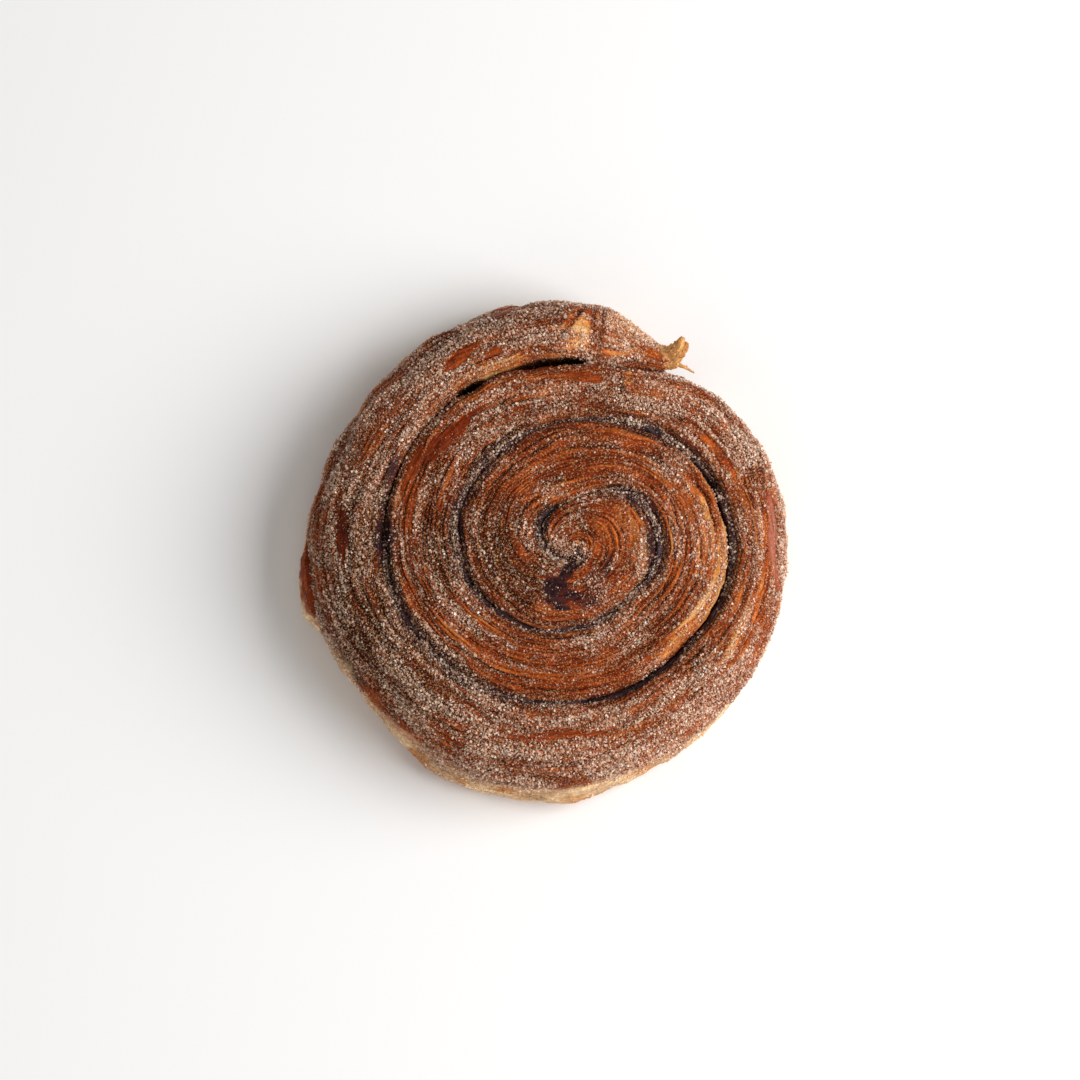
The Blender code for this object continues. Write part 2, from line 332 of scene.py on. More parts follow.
@dataclass(frozen=True)
class RollShape:
    """The coil's form, in millimetres and degrees, as the solids have it, with its seam drawn closer.

    A span is a start and an end along the strip. A third number after one is the size of what happens there.
    """

    heart: tuple[float, float] = (7.64, -2.88)
    pitch: float = 16.5
    heart_radius: float = 0.4
    seam_end: float = 1014
    swing: tuple[float, ...] = (2.0, 1.9, 0.3, 1.0, 2.0, -0.2, -2.0, -1.8)
    swing_fade: tuple[float, float] = (250, 320)
    hook: tuple[float, float, float] = (70, 230, 0.4)
    dent: tuple[float, float, float] = (262, 32, 2.0)
    pinch: tuple[float, float, float] = (942, 1015, 3.2)
    tail_inside: tuple[float, float, float] = (998, 1020, 3.6)
    tail_outside: tuple[float, float, float] = (992, 1018, 4.6)
    rim_radii: tuple[float, ...] = (
        49.2, 49.6, 48.0, 47.8, 49.0, 54.0, 57.0, 57.9, 61.7, 60.6, 61.0, 60.0, 57.5)
    rim_start: float = 1020
    rim_step: float = 30
    crown: float = 35.0
    shoulder: float = 27.5
    dome_radius: float = 52.0
    dome_power: float = 1.7
    seam_power: float = 5
    rim_drop: float = 15.0
    rim_power: float = 2.3
    rim_crest: float = 0.34
    tail_drop: tuple[float, float, float] = (985, 1016, 0.55)
    slot_opening: float = 90
    filling_span: tuple[float, float] = (34, 1004)
    filling_thickness: float = 1.5
    filling_swell: float = 0.5
    filling_least: float = 0.6
    filling_ramp: float = 80
    swells: tuple[tuple[float, float, float], ...] = ((0.6, 2.3, 40), (0.4, 5.1, 0))
    clearance: float = 0.3
    groove_ramp: float = 25
    grooves: tuple[tuple[float, float, float], ...] = ((670, 820, 0.9), (905, 1030, 0.5))
    seam_marks: tuple[float, ...] = (
        0.1, 0.5, 0.9, 0.3, 0.8, 0.9, 0.0, 0.9, 1.0, 0.5, 0.7, 0.6,
        1.0, 1.0, 0.55, 0.95, 0.95, 0.75, 0.5, 1.0, 1.0, 0.5, 0.25, 0.2)
    seam_mark_step: float = 45
    seam_gap: tuple[float, float, float] = (0.08, 0.56, 0.46)
    seam_narrowed: float = 0.2
    chink_span: tuple[float, float] = (880, 925)
    chink_least: float = 0.16
    valley_depth: tuple[float, float, float] = (1.6, 1.5, 0.6)
    belly_ledge: tuple[float, float, float] = (1115, 1240, 1.5)
    chinks: tuple[tuple[float, float, float, float], ...] = ((969, 998, 9, 0.95), (951, 963, 4, 0.65))
    wobble: float = 0.34
    unevenness: Noise = Noise(5)

    def arc(self, angle: Array) -> Array:
        """Length along the seam from the heart to angles along it."""
        return np.radians(np.maximum(angle, 0)) * self.pitch * np.maximum(angle, 0) / 720

    def seam_radius(self, angle: Array) -> Array:
        """Radius of the seam between two turns.

        Args:
            angle: Angles along the seam.

        Returns:
            The radii, 0 before the seam starts.
        """
        spiral = self.heart_radius * smooth_step(angle, 0, 60) + self.pitch * angle / 360
        low, high, share = self.hook
        spiral = spiral * (share + (1 - share) * smooth_step(angle, low, high))
        swing = smooth_list(self.swing, (-angle / 45) % 8, True) * smooth_step(angle, *self.swing_fade)
        place, half, depth = self.dent
        low, high, push = self.pinch
        radius = spiral + swing - depth * hill(angle, place, half) - push * smooth_step(angle, low, high)
        waver = self.unevenness.rough(self.arc(angle) / 5.5) * smooth_step(angle, 60, 200)
        return np.where(angle > 0, radius + self.wobble * waver, 0.0)

    def rim_radius(self, angle: Array) -> Array:
        """Radius of the last turn's outside, at angles counted as if the seam went on."""
        return smooth_list(self.rim_radii, (angle - self.rim_start) / self.rim_step)

    def filling_width(self, angle: Array) -> Array:
        """Thickness of the filling.

        Args:
            angle: Angles along the seam.

        Returns:
            The thicknesses.
        """
        swell = sum(size * np.sin(np.radians(pace * angle + shift)) for size, pace, shift in self.swells)
        more = self.filling_thickness + self.filling_swell * swell - self.filling_least
        return self.filling_least + more * rise_and_fall(angle, *self.filling_span, self.filling_ramp)

    def marking(self, angle: Array) -> Array:
        """0 to 1 for how plainly the filling marks the seam."""
        return np.clip(smooth_list(self.seam_marks, np.maximum(angle, 0) / self.seam_mark_step), 0, 1)

    def bareness(self, angle: Array) -> Array:
        """0 to 1 for how bare the seam lies beside its filling."""
        start, end, _ = self.grooves[0]
        return rise_and_fall(angle, start, end, self.groove_ramp)

    def slot_width(self, angle: Array) -> Array:
        """Width of the slot that the solids leave between two turns.

        Args:
            angle: Angles along the seam.

        Returns:
            The widths.
        """
        ramp = self.groove_ramp
        bare = sum(width * rise_and_fall(angle, start, end, ramp) for start, end, width in self.grooves)
        opening = smooth_step(angle, 0, self.slot_opening)
        return (self.filling_width(angle) + 2 * self.clearance + bare) * opening

    def gap(self, angle: Array) -> Array:
        """Width of the seam between the baked turns, closed in places beside the tail.

        Args:
            angle: Angles along the seam.

        Returns:
            The widths.
        """
        uneven = 0.5 + 0.5 * self.unevenness.rough(self.arc(angle) / 3.2, 9.0)
        least, more, swell = self.seam_gap
        narrowed = 1 - self.seam_narrowed * self.bareness(angle)
        seam = least + (more + swell * uneven) * self.marking(angle) * narrowed
        chink = self.chink_least
        for start, end, ramp, wide in self.chinks:
            chink = chink + wide * rise_and_fall(angle, start, end, ramp)
        return self.slot_width(angle) * blend(seam, chink, smooth_step(angle, *self.chink_span))

    def valley(self, angle: Array) -> Array:
        """Depth to which the turns round down into the seam."""
        plain, bare, uneven = self.valley_depth
        return plain + bare * self.bareness(angle) + uneven * self.unevenness.at(self.arc(angle) / 9, 4.0)

    def dome(self, radius: Array) -> Array:
        """Height of the roll's overall dome at radii from the heart."""
        share = np.minimum(1.2, radius / self.dome_radius) ** self.dome_power
        return self.crown - (self.crown - self.shoulder) * share

    def sides(self, angle: Array) -> tuple[Array, Array, Array]:
        """The strip's inner and outer radius.

        Args:
            angle: Angles along the strip.

        Returns:
            The inner radius, the outer radius, and 0 to 1 for how free the outer side is.
        """
        inner = np.where(angle > 0, self.seam_radius(angle) + self.gap(angle) / 2, 0.0)
        outside = angle + 360
        free = smooth_step(outside, self.seam_end - 6, self.seam_end + 14)
        seam = np.minimum(outside, self.seam_end)
        pressed = np.maximum(0.0, self.seam_radius(seam) - self.gap(seam) / 2)
        outer = pressed + (self.rim_radius(outside) - pressed) * free
        inner = inner + self.tail_inside[2] * smooth_step(angle, *self.tail_inside[:2])
        outer = outer - self.tail_outside[2] * smooth_step(angle, *self.tail_outside[:2])
        return inner, outer, free

    def top_height(self, angle: Array, share: Array, radius: Array, free: Array) -> Array:
        """Height of the strip's top without its relief.

        Args:
            angle: Angles along the strip.
            share: Shares across the strip's top.
            radius: Radii from the heart.
            free: 0 to 1 for how free the outer side is.

        Returns:
            The heights.
        """
        inside = self.valley(angle) * rounding(1 - 2 * share, self.seam_power)
        inside = inside * smooth_step(angle, 0, self.slot_opening)
        pressed = self.valley(angle + 360) * rounding(2 * share - 1, self.seam_power)
        rim = self.rim_drop * rounding((share - self.rim_crest) / (1 - self.rim_crest), self.rim_power)
        low, high, left = self.tail_drop
        thin = 1 - (1 - left) * smooth_step(angle, low, high)
        return (self.dome(radius) - inside - pressed * (1 - free) - rim * free) * thin

    def plan(self, angle: Array, radius: Array) -> tuple[Array, Array]:
        """Places right of and behind the heart, in millimetres."""
        turn = np.radians(-angle)
        return radius * np.cos(turn), radius * np.sin(turn)

    def seen(self, angle: Array, radius: Array, height: Array) -> tuple[Array, Array]:
        """Places as the camera sees them.

        Args:
            angle: Angles along the strip.
            radius: Radii from the heart.
            height: Heights over the table.

        Returns:
            Millimetres right of and above the heart's top.
        """
        right, behind = self.plan(angle, radius)
        tilt = math.radians(VIEW_ELEVATION)
        return right, behind * math.sin(tilt) + (height - self.crown) * math.cos(tilt)

    def space(self, angle: Array, radius: Array, height: Array) -> Array:
        """Places round the heart as points in metres, with one more axis for x, y and z."""
        x, y = self.plan(angle, radius)
        return np.stack(np.broadcast_arrays(x + self.heart[0], y + self.heart[1], height), axis=-1) * MM


@dataclass(frozen=True)
class CrustColours:
    """Colours of the browned dough, from burnt to pale, and of what stains it."""

    stops: tuple[float, ...] = (0.0, 0.25, 0.48, 0.66, 0.82, 1.0)
    ramp: tuple[Colour, ...] = (
        from_screen(44, 12, 3), from_screen(84, 25, 4), from_screen(130, 47, 9),
        from_screen(174, 85, 27), from_screen(206, 140, 72), from_screen(226, 184, 130))
    stain: Colour = from_screen(38, 19, 24)
    mauve: Colour = from_screen(166, 96, 72)
    dust: Colour = from_screen(122, 74, 46)
    wall: Colour = from_screen(244, 212, 168)
    amber: Colour = from_screen(196, 124, 52)
    leaf: Colour = from_screen(252, 190, 118)
    under: Colour = from_screen(172, 106, 54)

    def at(self, tone: Array) -> Array:
        """Crust colours at tones from 0, burnt, to 1, pale.

        Args:
            tone: The tones.

        Returns:
            An array with one more axis, of linear red, green and blue.
        """
        ramp = np.asarray(self.ramp)
        return np.stack([np.interp(tone, self.stops, ramp[:, k]) for k in range(3)], axis=-1)


class Attribute(Enum):
    """Names of the values that a mesh carries for its material."""

    TINT = "tint"
    GLOSS = "gloss"
    LAYERS = "layers"


def put_attribute(mesh: bpy.types.Mesh, name: Attribute, values: Array) -> None:
    """Stores a value at each point of a mesh.

    Args:
        mesh: The mesh.
        name: Which value it is.
        values: One number for each point, or three for a vector or a colour.
    """
    if name is Attribute.TINT:
        rgba = np.ones((len(mesh.vertices), 4), dtype=np.float32)
        rgba[:, :3] = values
        data = mesh.color_attributes.new(name.value, "FLOAT_COLOR", "POINT").data
        data.foreach_set("color", rgba.ravel())
    elif name is Attribute.LAYERS:
        data = mesh.attributes.new(name.value, "FLOAT_VECTOR", "POINT").data
        data.foreach_set("vector", values.astype(np.float32).ravel())
    else:
        data = mesh.attributes.new(name.value, "FLOAT", "POINT").data
        data.foreach_set("value", values.astype(np.float32).ravel())


def tube_mesh(name: str, points: Array, ends: bool = True) -> bpy.types.Mesh:
    """Makes a smooth closed mesh of rings of points.

    Args:
        name: Name of the mesh.
        points: Points in metres, as rings by places round a ring by three.
        ends: Whether the first and last ring are filled.

    Returns:
        The mesh.
    """
    rings, places = points.shape[:2]
    ring = np.arange(rings - 1)[:, None] * places
    place = np.arange(places)[None, :]
    after = (place + 1) % places
    quads = np.stack([ring + place, ring + after, ring + places + after, ring + places + place], axis=-1)
    faces = quads.reshape(-1, 4).tolist()
    if ends:
        faces.append(list(range(places))[::-1])
        faces.append(list(range((rings - 1) * places, rings * places)))
    mesh = bpy.data.meshes.new(name)
    mesh.from_pydata(points.reshape(-1, 3).tolist(), [], faces)
    mesh.shade_smooth()
    return mesh


def facet_mesh(name: str, points: Array, faces: Array) -> bpy.types.Mesh:
    """Makes a flat-shaded mesh of faces that all have as many corners.

    Args:
        name: Name of the mesh.
        points: Points in metres, one row each.
        faces: Point numbers, one row for each face.

    Returns:
        The mesh.
    """
    mesh = bpy.data.meshes.new(name)
    corners = faces.shape[1]
    mesh.vertices.add(len(points))
    mesh.vertices.foreach_set("co", points.astype(np.float32).ravel())
    mesh.loops.add(faces.size)
    mesh.loops.foreach_set("vertex_index", faces.astype(np.int32).ravel())
    mesh.polygons.add(len(faces))
    mesh.polygons.foreach_set("loop_start", np.arange(0, faces.size, corners, dtype=np.int32))
    mesh.update(calc_edges=True)
    mesh.validate()
    mesh.shade_flat()
    return mesh


def show(mesh: bpy.types.Mesh, material: bpy.types.Material, node: str = "") -> bpy.types.Object:
    """Puts a mesh in the scene as a piece that rides on the roll.

    Args:
        mesh: Its mesh.
        material: Its material.
        node: The solid that it is shown for, if it takes one's place.

    Returns:
        The piece.
    """
    piece = bpy.data.objects.new(mesh.name, mesh)
    bpy.context.scene.collection.objects.link(piece)
    mesh.materials.append(material)
    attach(piece, BODY)
    if node:
        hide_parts(node)
    log.info("%s: %d faces", piece.name, len(mesh.polygons))
    return piece


class Finish(ABC):
    """A procedural material, built from a few kinds of node."""

    name: str
    noise_roughness: float = 0.6
    bump_strength: float = 0.8

    def start(self) -> tuple[bpy.types.Material, bpy.types.Node]:
        """Makes an empty material.

        Returns:
            The material and its surface shader.
        """
        material = bpy.data.materials.new(self.name)
        material.use_nodes = True
        return material, material.node_tree.nodes["Principled BSDF"]

    @staticmethod
    def attribute(tree: bpy.types.NodeTree, name: Attribute, output: str) -> bpy.types.NodeSocket:
        """A value that the mesh carries.

        Args:
            tree: The node tree.
            name: Which value it is.
            output: Name of the node's output.

        Returns:
            The value.
        """
        node = tree.nodes.new("ShaderNodeAttribute")
        node.attribute_name = name.value
        return node.outputs[output]

    @classmethod
    def noise(cls, tree: bpy.types.NodeTree, place: bpy.types.NodeSocket, scale: float,
              detail: float) -> bpy.types.NodeSocket:
        """Cloudy unevenness.

        Args:
            tree: The node tree.
            place: Where it is read.
            scale: Clouds for each unit of the place.
            detail: How many finer sizes of cloud are added.

        Returns:
            The unevenness, about 0.5.
        """
        node = tree.nodes.new("ShaderNodeTexNoise")
        node.inputs["Scale"].default_value = scale
        node.inputs["Detail"].default_value = detail
        node.inputs["Roughness"].default_value = cls.noise_roughness
        tree.links.new(place, node.inputs["Vector"])
        return node.outputs["Fac"]

    @staticmethod
    def spread(tree: bpy.types.NodeTree, value: bpy.types.NodeSocket, low: float, high: float,
               first: float = 0.28, last: float = 0.72) -> bpy.types.NodeSocket:
        """Spreads a value between two ends.

        Args:
            tree: The node tree.
            value: The value.
            low: Result at first.
            high: Result at last.
            first: The value's lower end.
            last: The value's upper end.

        Returns:
            The spread value.
        """
        node = tree.nodes.new("ShaderNodeMapRange")
        for socket, number in (("From Min", first), ("From Max", last), ("To Min", low), ("To Max", high)):
            node.inputs[socket].default_value = number
        tree.links.new(value, node.inputs["Value"])
        return node.outputs["Result"]

    @staticmethod
    def combine(tree: bpy.types.NodeTree, how: str, one: bpy.types.NodeSocket,
                other: bpy.types.NodeSocket) -> bpy.types.NodeSocket:
        """Adds or multiplies two values.

        Args:
            tree: The node tree.
            how: The sum, ADD or MULTIPLY.
            one: The first value.
            other: The second value.

        Returns:
            The result.
        """
        node = tree.nodes.new("ShaderNodeMath")
        node.operation = how
        tree.links.new(one, node.inputs[0])
        tree.links.new(other, node.inputs[1])
        return node.outputs["Value"]

    @staticmethod
    def scaled(tree: bpy.types.NodeTree, colour: bpy.types.NodeSocket,
               share: bpy.types.NodeSocket) -> bpy.types.NodeSocket:
        """A colour made darker or lighter.

        Args:
            tree: The node tree.
            colour: The colour.
            share: How much of it is left, 1 for all.

        Returns:
            The new colour.
        """
        node = tree.nodes.new("ShaderNodeVectorMath")
        node.operation = "SCALE"
        tree.links.new(colour, node.inputs[0])
        tree.links.new(share, node.inputs["Scale"])
        return node.outputs["Vector"]

    @classmethod
    def bump(cls, tree: bpy.types.NodeTree, shader: bpy.types.Node, height: bpy.types.NodeSocket,
             depth: float) -> None:
        """Gives the shader fine relief.

        Args:
            tree: The node tree.
            shader: The surface shader.
            height: The relief, 0 to 1.
            depth: Its depth in metres.
        """
        node = tree.nodes.new("ShaderNodeBump")
        node.inputs["Strength"].default_value = cls.bump_strength
        node.inputs["Distance"].default_value = depth
        tree.links.new(height, node.inputs["Height"])
        tree.links.new(node.outputs["Normal"], shader.inputs["Normal"])


@dataclass(frozen=True)
class CrustFinish(Finish):
    """Baked crust: layered streaks over its tint, fine pores, and a sheen where the butter shows."""

    name: str = "browned_crust"
    rough_low: float = 0.46
    rough_high: float = 0.85
    shine: float = 0.1
    streaks_along: float = 0.24
    streaks_across: float = 2.4
    streak_shades: tuple[float, float] = (0.5, 1.5)
    pore_scale: float = 900.0
    pore_shades: tuple[float, float] = (0.62, 1.4)
    dust_scale: float = 2400.0
    dust: Colour = from_screen(228, 162, 98)
    dusted: float = 0.6
    dot_edges: tuple[float, float] = (0.56, 0.63)
    matt_edges: tuple[float, float] = (0.1, 0.6)
    bump_depth: float = 0.00034

    def make(self) -> bpy.types.Material:
        """Builds the material, which reads the mesh's tint, gloss and layers.

        Returns:
            The material.
        """
        material, shader = self.start()
        tree = material.node_tree
        stretch = tree.nodes.new("ShaderNodeVectorMath")
        stretch.operation = "MULTIPLY"
        stretch.inputs[1].default_value = (self.streaks_along, self.streaks_across, 1.0)
        tree.links.new(self.attribute(tree, Attribute.LAYERS, "Vector"), stretch.inputs[0])
        streaks = self.noise(tree, stretch.outputs["Vector"], 1.0, 5.0)
        place = tree.nodes.new("ShaderNodeTexCoord").outputs["Object"]
        pores = self.noise(tree, place, self.pore_scale, 4.0)
        shades = self.spread(tree, streaks, *self.streak_shades)
        specks = self.spread(tree, pores, *self.pore_shades)
        both = self.combine(tree, "MULTIPLY", shades, specks)
        colour = self.scaled(tree, self.attribute(tree, Attribute.TINT, "Color"), both)
        powder = tree.nodes.new("ShaderNodeMix")
        powder.data_type = "RGBA"
        gloss = self.attribute(tree, Attribute.GLOSS, "Fac")
        grains = self.noise(tree, place, self.dust_scale, 1.0)
        dots = self.spread(tree, grains, 0.0, self.dusted, *self.dot_edges)
        matt = self.spread(tree, gloss, 1.0, 0.0, *self.matt_edges)
        dots = self.combine(tree, "MULTIPLY", dots, matt)
        tree.links.new(dots, powder.inputs["Factor"])
        tree.links.new(colour, powder.inputs["A"])
        powder.inputs["B"].default_value = (*self.dust, 1)
        tree.links.new(powder.outputs["Result"], shader.inputs["Base Color"])
        sheen = self.spread(tree, gloss, self.rough_high, self.rough_low, 0, 1)
        tree.links.new(self.combine(tree, "MULTIPLY", sheen, specks), shader.inputs["Roughness"])
        shader.inputs["Specular IOR Level"].default_value = self.shine
        self.bump(tree, shader, self.combine(tree, "ADD", streaks, pores), self.bump_depth)
        return material


@dataclass(frozen=True)
class FillingFinish(Finish):
    """Dark cinnamon paste, wet and lumpy, nearly black with a purple cast."""

    name: str = "cinnamon_paste"
    deep: Colour = from_screen(20, 9, 12)
    light: Colour = from_screen(74, 42, 46)
    shine: float = 0.3
    lump_scale: float = 520.0
    deep_until: float = 0.35
    light_from: float = 0.72
    rough: tuple[float, float] = (0.4, 0.75)
    bump_depth: float = 0.0004

    def make(self) -> bpy.types.Material:
        """Builds the material.

        Returns:
            The material.
        """
        material, shader = self.start()
        tree = material.node_tree
        place = tree.nodes.new("ShaderNodeTexCoord").outputs["Object"]
        lumps = self.noise(tree, place, self.lump_scale, 5.0)
        ramp = tree.nodes.new("ShaderNodeValToRGB")
        ramp.color_ramp.elements[0].position = self.deep_until
        ramp.color_ramp.elements[0].color = (*self.deep, 1)
        ramp.color_ramp.elements[1].position = self.light_from
        ramp.color_ramp.elements[1].color = (*self.light, 1)
        tree.links.new(lumps, ramp.inputs["Fac"])
        tree.links.new(ramp.outputs["Color"], shader.inputs["Base Color"])
        tree.links.new(self.spread(tree, lumps, *self.rough), shader.inputs["Roughness"])
        shader.inputs["Specular IOR Level"].default_value = self.shine
        self.bump(tree, shader, lumps, self.bump_depth)
        return material


@dataclass(frozen=True)
class SugarFinish(Finish):
    """Granulated sugar: a tint for each grain, clouded, with shiny faces."""

    name: str = "sugar_grains"
    rough: tuple[float, float] = (0.21, 0.45)
    cloud_scale: float = 2600.0
    cloud_shades: tuple[float, float] = (0.78, 1.2)

    def make(self) -> bpy.types.Material:
        """Builds the material, which reads each grain's tint.

        Returns:
            The material.
        """
        material, shader = self.start()
        tree = material.node_tree
        place = tree.nodes.new("ShaderNodeTexCoord").outputs["Object"]
        cloud = self.noise(tree, place, self.cloud_scale, 2.0)
        tint = self.attribute(tree, Attribute.TINT, "Color")
        colour = self.scaled(tree, tint, self.spread(tree, cloud, *self.cloud_shades))
        tree.links.new(colour, shader.inputs["Base Color"])
        tree.links.new(self.spread(tree, cloud, *self.rough), shader.inputs["Roughness"])
        return material


@dataclass
class Layering:
    """The edges of the dough's layers over a sheet."""

    phase: Array
    ridge: Array
    fine: Array
    strength: Array
    offset: Array
    split: Array


@dataclass(frozen=True)
class CrustMarks:
    """Where the crust is bare, pale, pitted, golden, dark, stained, cracked, or thick or thin with sugar."""

    bare: tuple[Place, ...] = (
        Spot(1.8, 38.2, 4.0, 1.2, -8), Spot(-8.0, 40.4, 6.0, 0.8, 6, 0.5),
        Spot(-26.6, 42.6, 4.4, 1.5, 36, 0.8), Spot(-18.6, 43.6, 1.9, 1.0, 22),
        Spot(-37, 18, 1.5, 6, -27, 0.6), Spot(-29, 24.5, 1.9, 8.5, -46, 0.75),
        Spot(-53.4, 1.6, 1.2, 6.6), Spot(-4.8, -43.4, 15, 0.9, 2, 0.43), Spot(45.8, 1.3, 0.85, 9.5, 3),
        Spot(-17, 53.2, 3.9, 1.7, 13), Spot(9.6, 43.6, 3.2, 0.6, -4), Spot(-44, 31, 1.2, 5, -34, 0.4))
    pale: tuple[Place, ...] = (
        Patch(380, 0.88, 34, 0.09, 0.18), Spot(11.8, 48.8, 8.5, 4.6, -30, 0.6),
        Spot(0.5, 48.4, 3.0, 4.8, -14, 0.8), Spot(9.6, 43.6, 3.2, 0.7, -4, 0.6),
        Spot(17.5, 44, 4, 2.5, -20, 0.5), Spot(37.2, -19.5, 1.0, 10, -26, 0.6))
    pits: tuple[Place, ...] = (
        Spot(10.3, 36.6, 0.8, 1.9, 10, 0.5), Spot(12.5, 45.6, 0.8, 0.6), Spot(10.9, 12.3, 1.9, 0.9, -24),
        Spot(9.4, 40.4, 2.6, 0.5, -8, 0.8), Spot(-0.6, 51, 4.2, 0.5, 50, 0.5))
    amber: tuple[Place, ...] = (
        Spot(-36.6, -49, 3.4, 1.6, -30), Spot(-15.5, -56, 3.0, 0.9, -5), Spot(18, -51.5, 6, 1.2, 12, 0.7),
        Spot(-26, -54, 2.4, 1.0, -18, 0.8), Spot(0, -58, 5, 0.8, 0, 0.6), Spot(33, -44, 4, 1.6, 40, 0.7))
    # Golden places: partly golden bake, partly painted highlight on edges that face the key light.
    golden: tuple[Place, ...] = (
        Spot(32.8, -3, 1.8, 11.5, -2), Spot(29.8, -17, 1.8, 9, -27), Spot(13.8, 1.5, 2.2, 7.5, 6, 0.9),
        Spot(11.5, -9, 2.0, 5, -35, 0.6), Patch(966, 0.05, 13, 0.13), Patch(984, 0.02, 9, 0.1, 0.6),
        Patch(384, 0.88, 36, 0.12, 0.9), Spot(1.5, 48.5, 2.6, 3.6, 20, 0.7),
        Spot(11.5, 49, 6, 4.5, -20, 0.6), Spot(42, -3, 1.1, 14, 2, 0.7),
        Spot(42.8, -10.5, 0.8, 7, -11, 0.8), Spot(36.8, -19.5, 0.9, 9.5, -26, 0.5),
        Spot(-3, -26, 14, 2.5, 0, 0.25), Spot(11, 22, 9, 2.5, -32, 0.45), Spot(2, 27.5, 8, 1.6, -4, 0.3),
        Spot(30, 2, 9, 24, 0, 0.3), Spot(12, 3, 6, 9, 0, 0.35), Spot(12, 37, 1.3, 2.4, 10, 0.8),
        Spot(0, 21, 14, 5, 0, 0.2))
    # Dark places: partly darker bake, partly painted shade, most of it on the left, away from the key light.
    dark: tuple[Place, ...] = (
        Spot(-18, 2, 6, 13, 0), Spot(-13, -9, 5, 6, 45, 0.8), Spot(-32, -3, 5, 14, 0, 0.8),
        Spot(-1.5, 6, 5, 3, -30, 0.5), Spot(-49, -8, 8, 24, 0), Spot(-40, -28, 8, 16, 40, 0.8),
        Spot(-30, 44, 12, 3, 42, 0.35), Spot(-40, 26, 2, 10, -32, 0.5), Spot(-29, 24.5, 2.4, 9, -46, 0.4),
        Spot(0, 31.5, 14, 1.4, 0, 0.4), Spot(-14, 50.5, 9, 0.9, 14, 0.7), Spot(-0.6, 51, 4.2, 0.6, 50),
        Spot(1, 6, 3.6, 2.2, 0, 0.6), Spot(-3.5, -2.3, 6.5, 2.4, -8, 0.8),
        Spot(44.8, -1, 0.7, 12, 2, 0.5), Spot(41, 2, 4, 16, 0, 0.3))
    stained: tuple[Place, ...] = (
        Spot(-4.4, -10.8, 3.2, 4.4, 20), Spot(1.2, -12.4, 4.0, 1.8, -12, 0.8),
        Spot(-2.2, -6.6, 1.7, 3.2, -35), Spot(3.8, -9, 3.4, 3.6, 30, 0.45), Spot(-0.2, -4.4, 3.0, 1.8, 40),
        Spot(7.2, -5.2, 0.9, 3.0, -20, 0.7), Spot(17.6, 1.5, 2.1, 9.5, 5, 0.7),
        Spot(9.6, 12.4, 2.6, 1.2, -10, 0.9), Spot(14, 10.6, 2.6, 1.6, -40, 0.8),
        Spot(-7.4, 5.6, 1.5, 4.2, -8, 0.8), Spot(-43.2, 0.5, 2.8, 5.6, 3), Spot(-27, 1.5, 1.6, 9, 0, 0.8),
        Spot(-20.6, 18.6, 1.6, 5, -30, 0.8), Spot(-42.2, 17, 1.4, 5, -20, 0.7),
        Spot(-44, 10, 1.3, 3.6, -8, 0.6), Spot(-39.5, -14, 1.2, 6, 20, 0.6),
        Spot(-26.5, -31, 5, 1.6, -34, 0.5), Spot(28, 19, 1.6, 10, 34, 0.6))
    thick_sugar: tuple[Place, ...] = (
        Spot(-4.0, -1.4, 6.8, 2.6, -8), Spot(-8.0, 4.6, 1.8, 4.8, -8, 0.8), Spot(15, -3, 1.6, 9, -4, 0.8),
        Spot(4.6, 11.2, 10.5, 1.6, 0, 0.7), Spot(-30, -27.5, 7, 3.4, -42, 0.8), Spot(-50, -2, 9, 30, 0, 0.34),
        Spot(2, -21.5, 9, 1.6, 6, 0.5), Spot(-24.5, -7, 2.4, 9, 18, 0.6), Spot(-17, -17, 8, 2.2, -42, 0.6),
        Spot(-36, -30, 12, 16, 42, 0.2), Spot(-10, -44, 22, 8, 0, 0.3), Spot(30, -38, 16, 8, 38, 0.34),
        Spot(-40, 26, 8, 14, -40, 0.3), Spot(-20, 46, 14, 5, 20, 0.2), Spot(12, 49, 7, 5, -20, 0.15),
        Spot(24, 30, 14, 6, -40, 0.3), Spot(-23, -50, 9, 5, -26, 0.35),
        Spot(-14, 28, 12, 3, 26, 0.35), Spot(10, 34, 12, 3, -14, 0.4), Spot(-7.2, -10.4, 0.8, 2.6, 0, 0.5),
        Spot(42.4, 1, 0.9, 15, 3), Spot(44.5, 16, 2.5, 8, 22, 0.5), Spot(47.6, 0, 0.7, 14, 0, 0.2),
        Spot(-4, -47, 28, 8, 0, 0.68), Spot(-28, -44, 12, 7, -36, 0.5), Spot(24, -43, 14, 8, 26, 0.45),
        Spot(-22, -33, 9, 2.6, -34, 0.9), Spot(12, 42.5, 6, 2, -10, 0.6), Spot(-2, -36.6, 8, 0.9, 4, 0.5),
        Spot(8, -39, 12, 2, 8, 0.6), Spot(-20, 47, 16, 7, 20, 0.3), Spot(40, 12, 6, 20, 12, 0.2),
        Spot(-33, 40, 10, 6, 42, 0.5), Spot(-42.5, -14, 1.8, 8, 10, 0.5), Spot(-38, -26, 7, 2, -55, 0.4),
        Spot(11.8, 49.2, 7.5, 3.8, -30, 0.9), Spot(37.2, -19.5, 1.0, 10, -26, 1.0),
        Spot(41.5, -25, 3.6, 9, -36, 0.4), Spot(46.2, -10, 1.2, 7, -10, 0.3),
        Spot(35, 27, 4.5, 14, 36, 0.3), Patch(966, 0.1, 14, 0.1, 0.3))
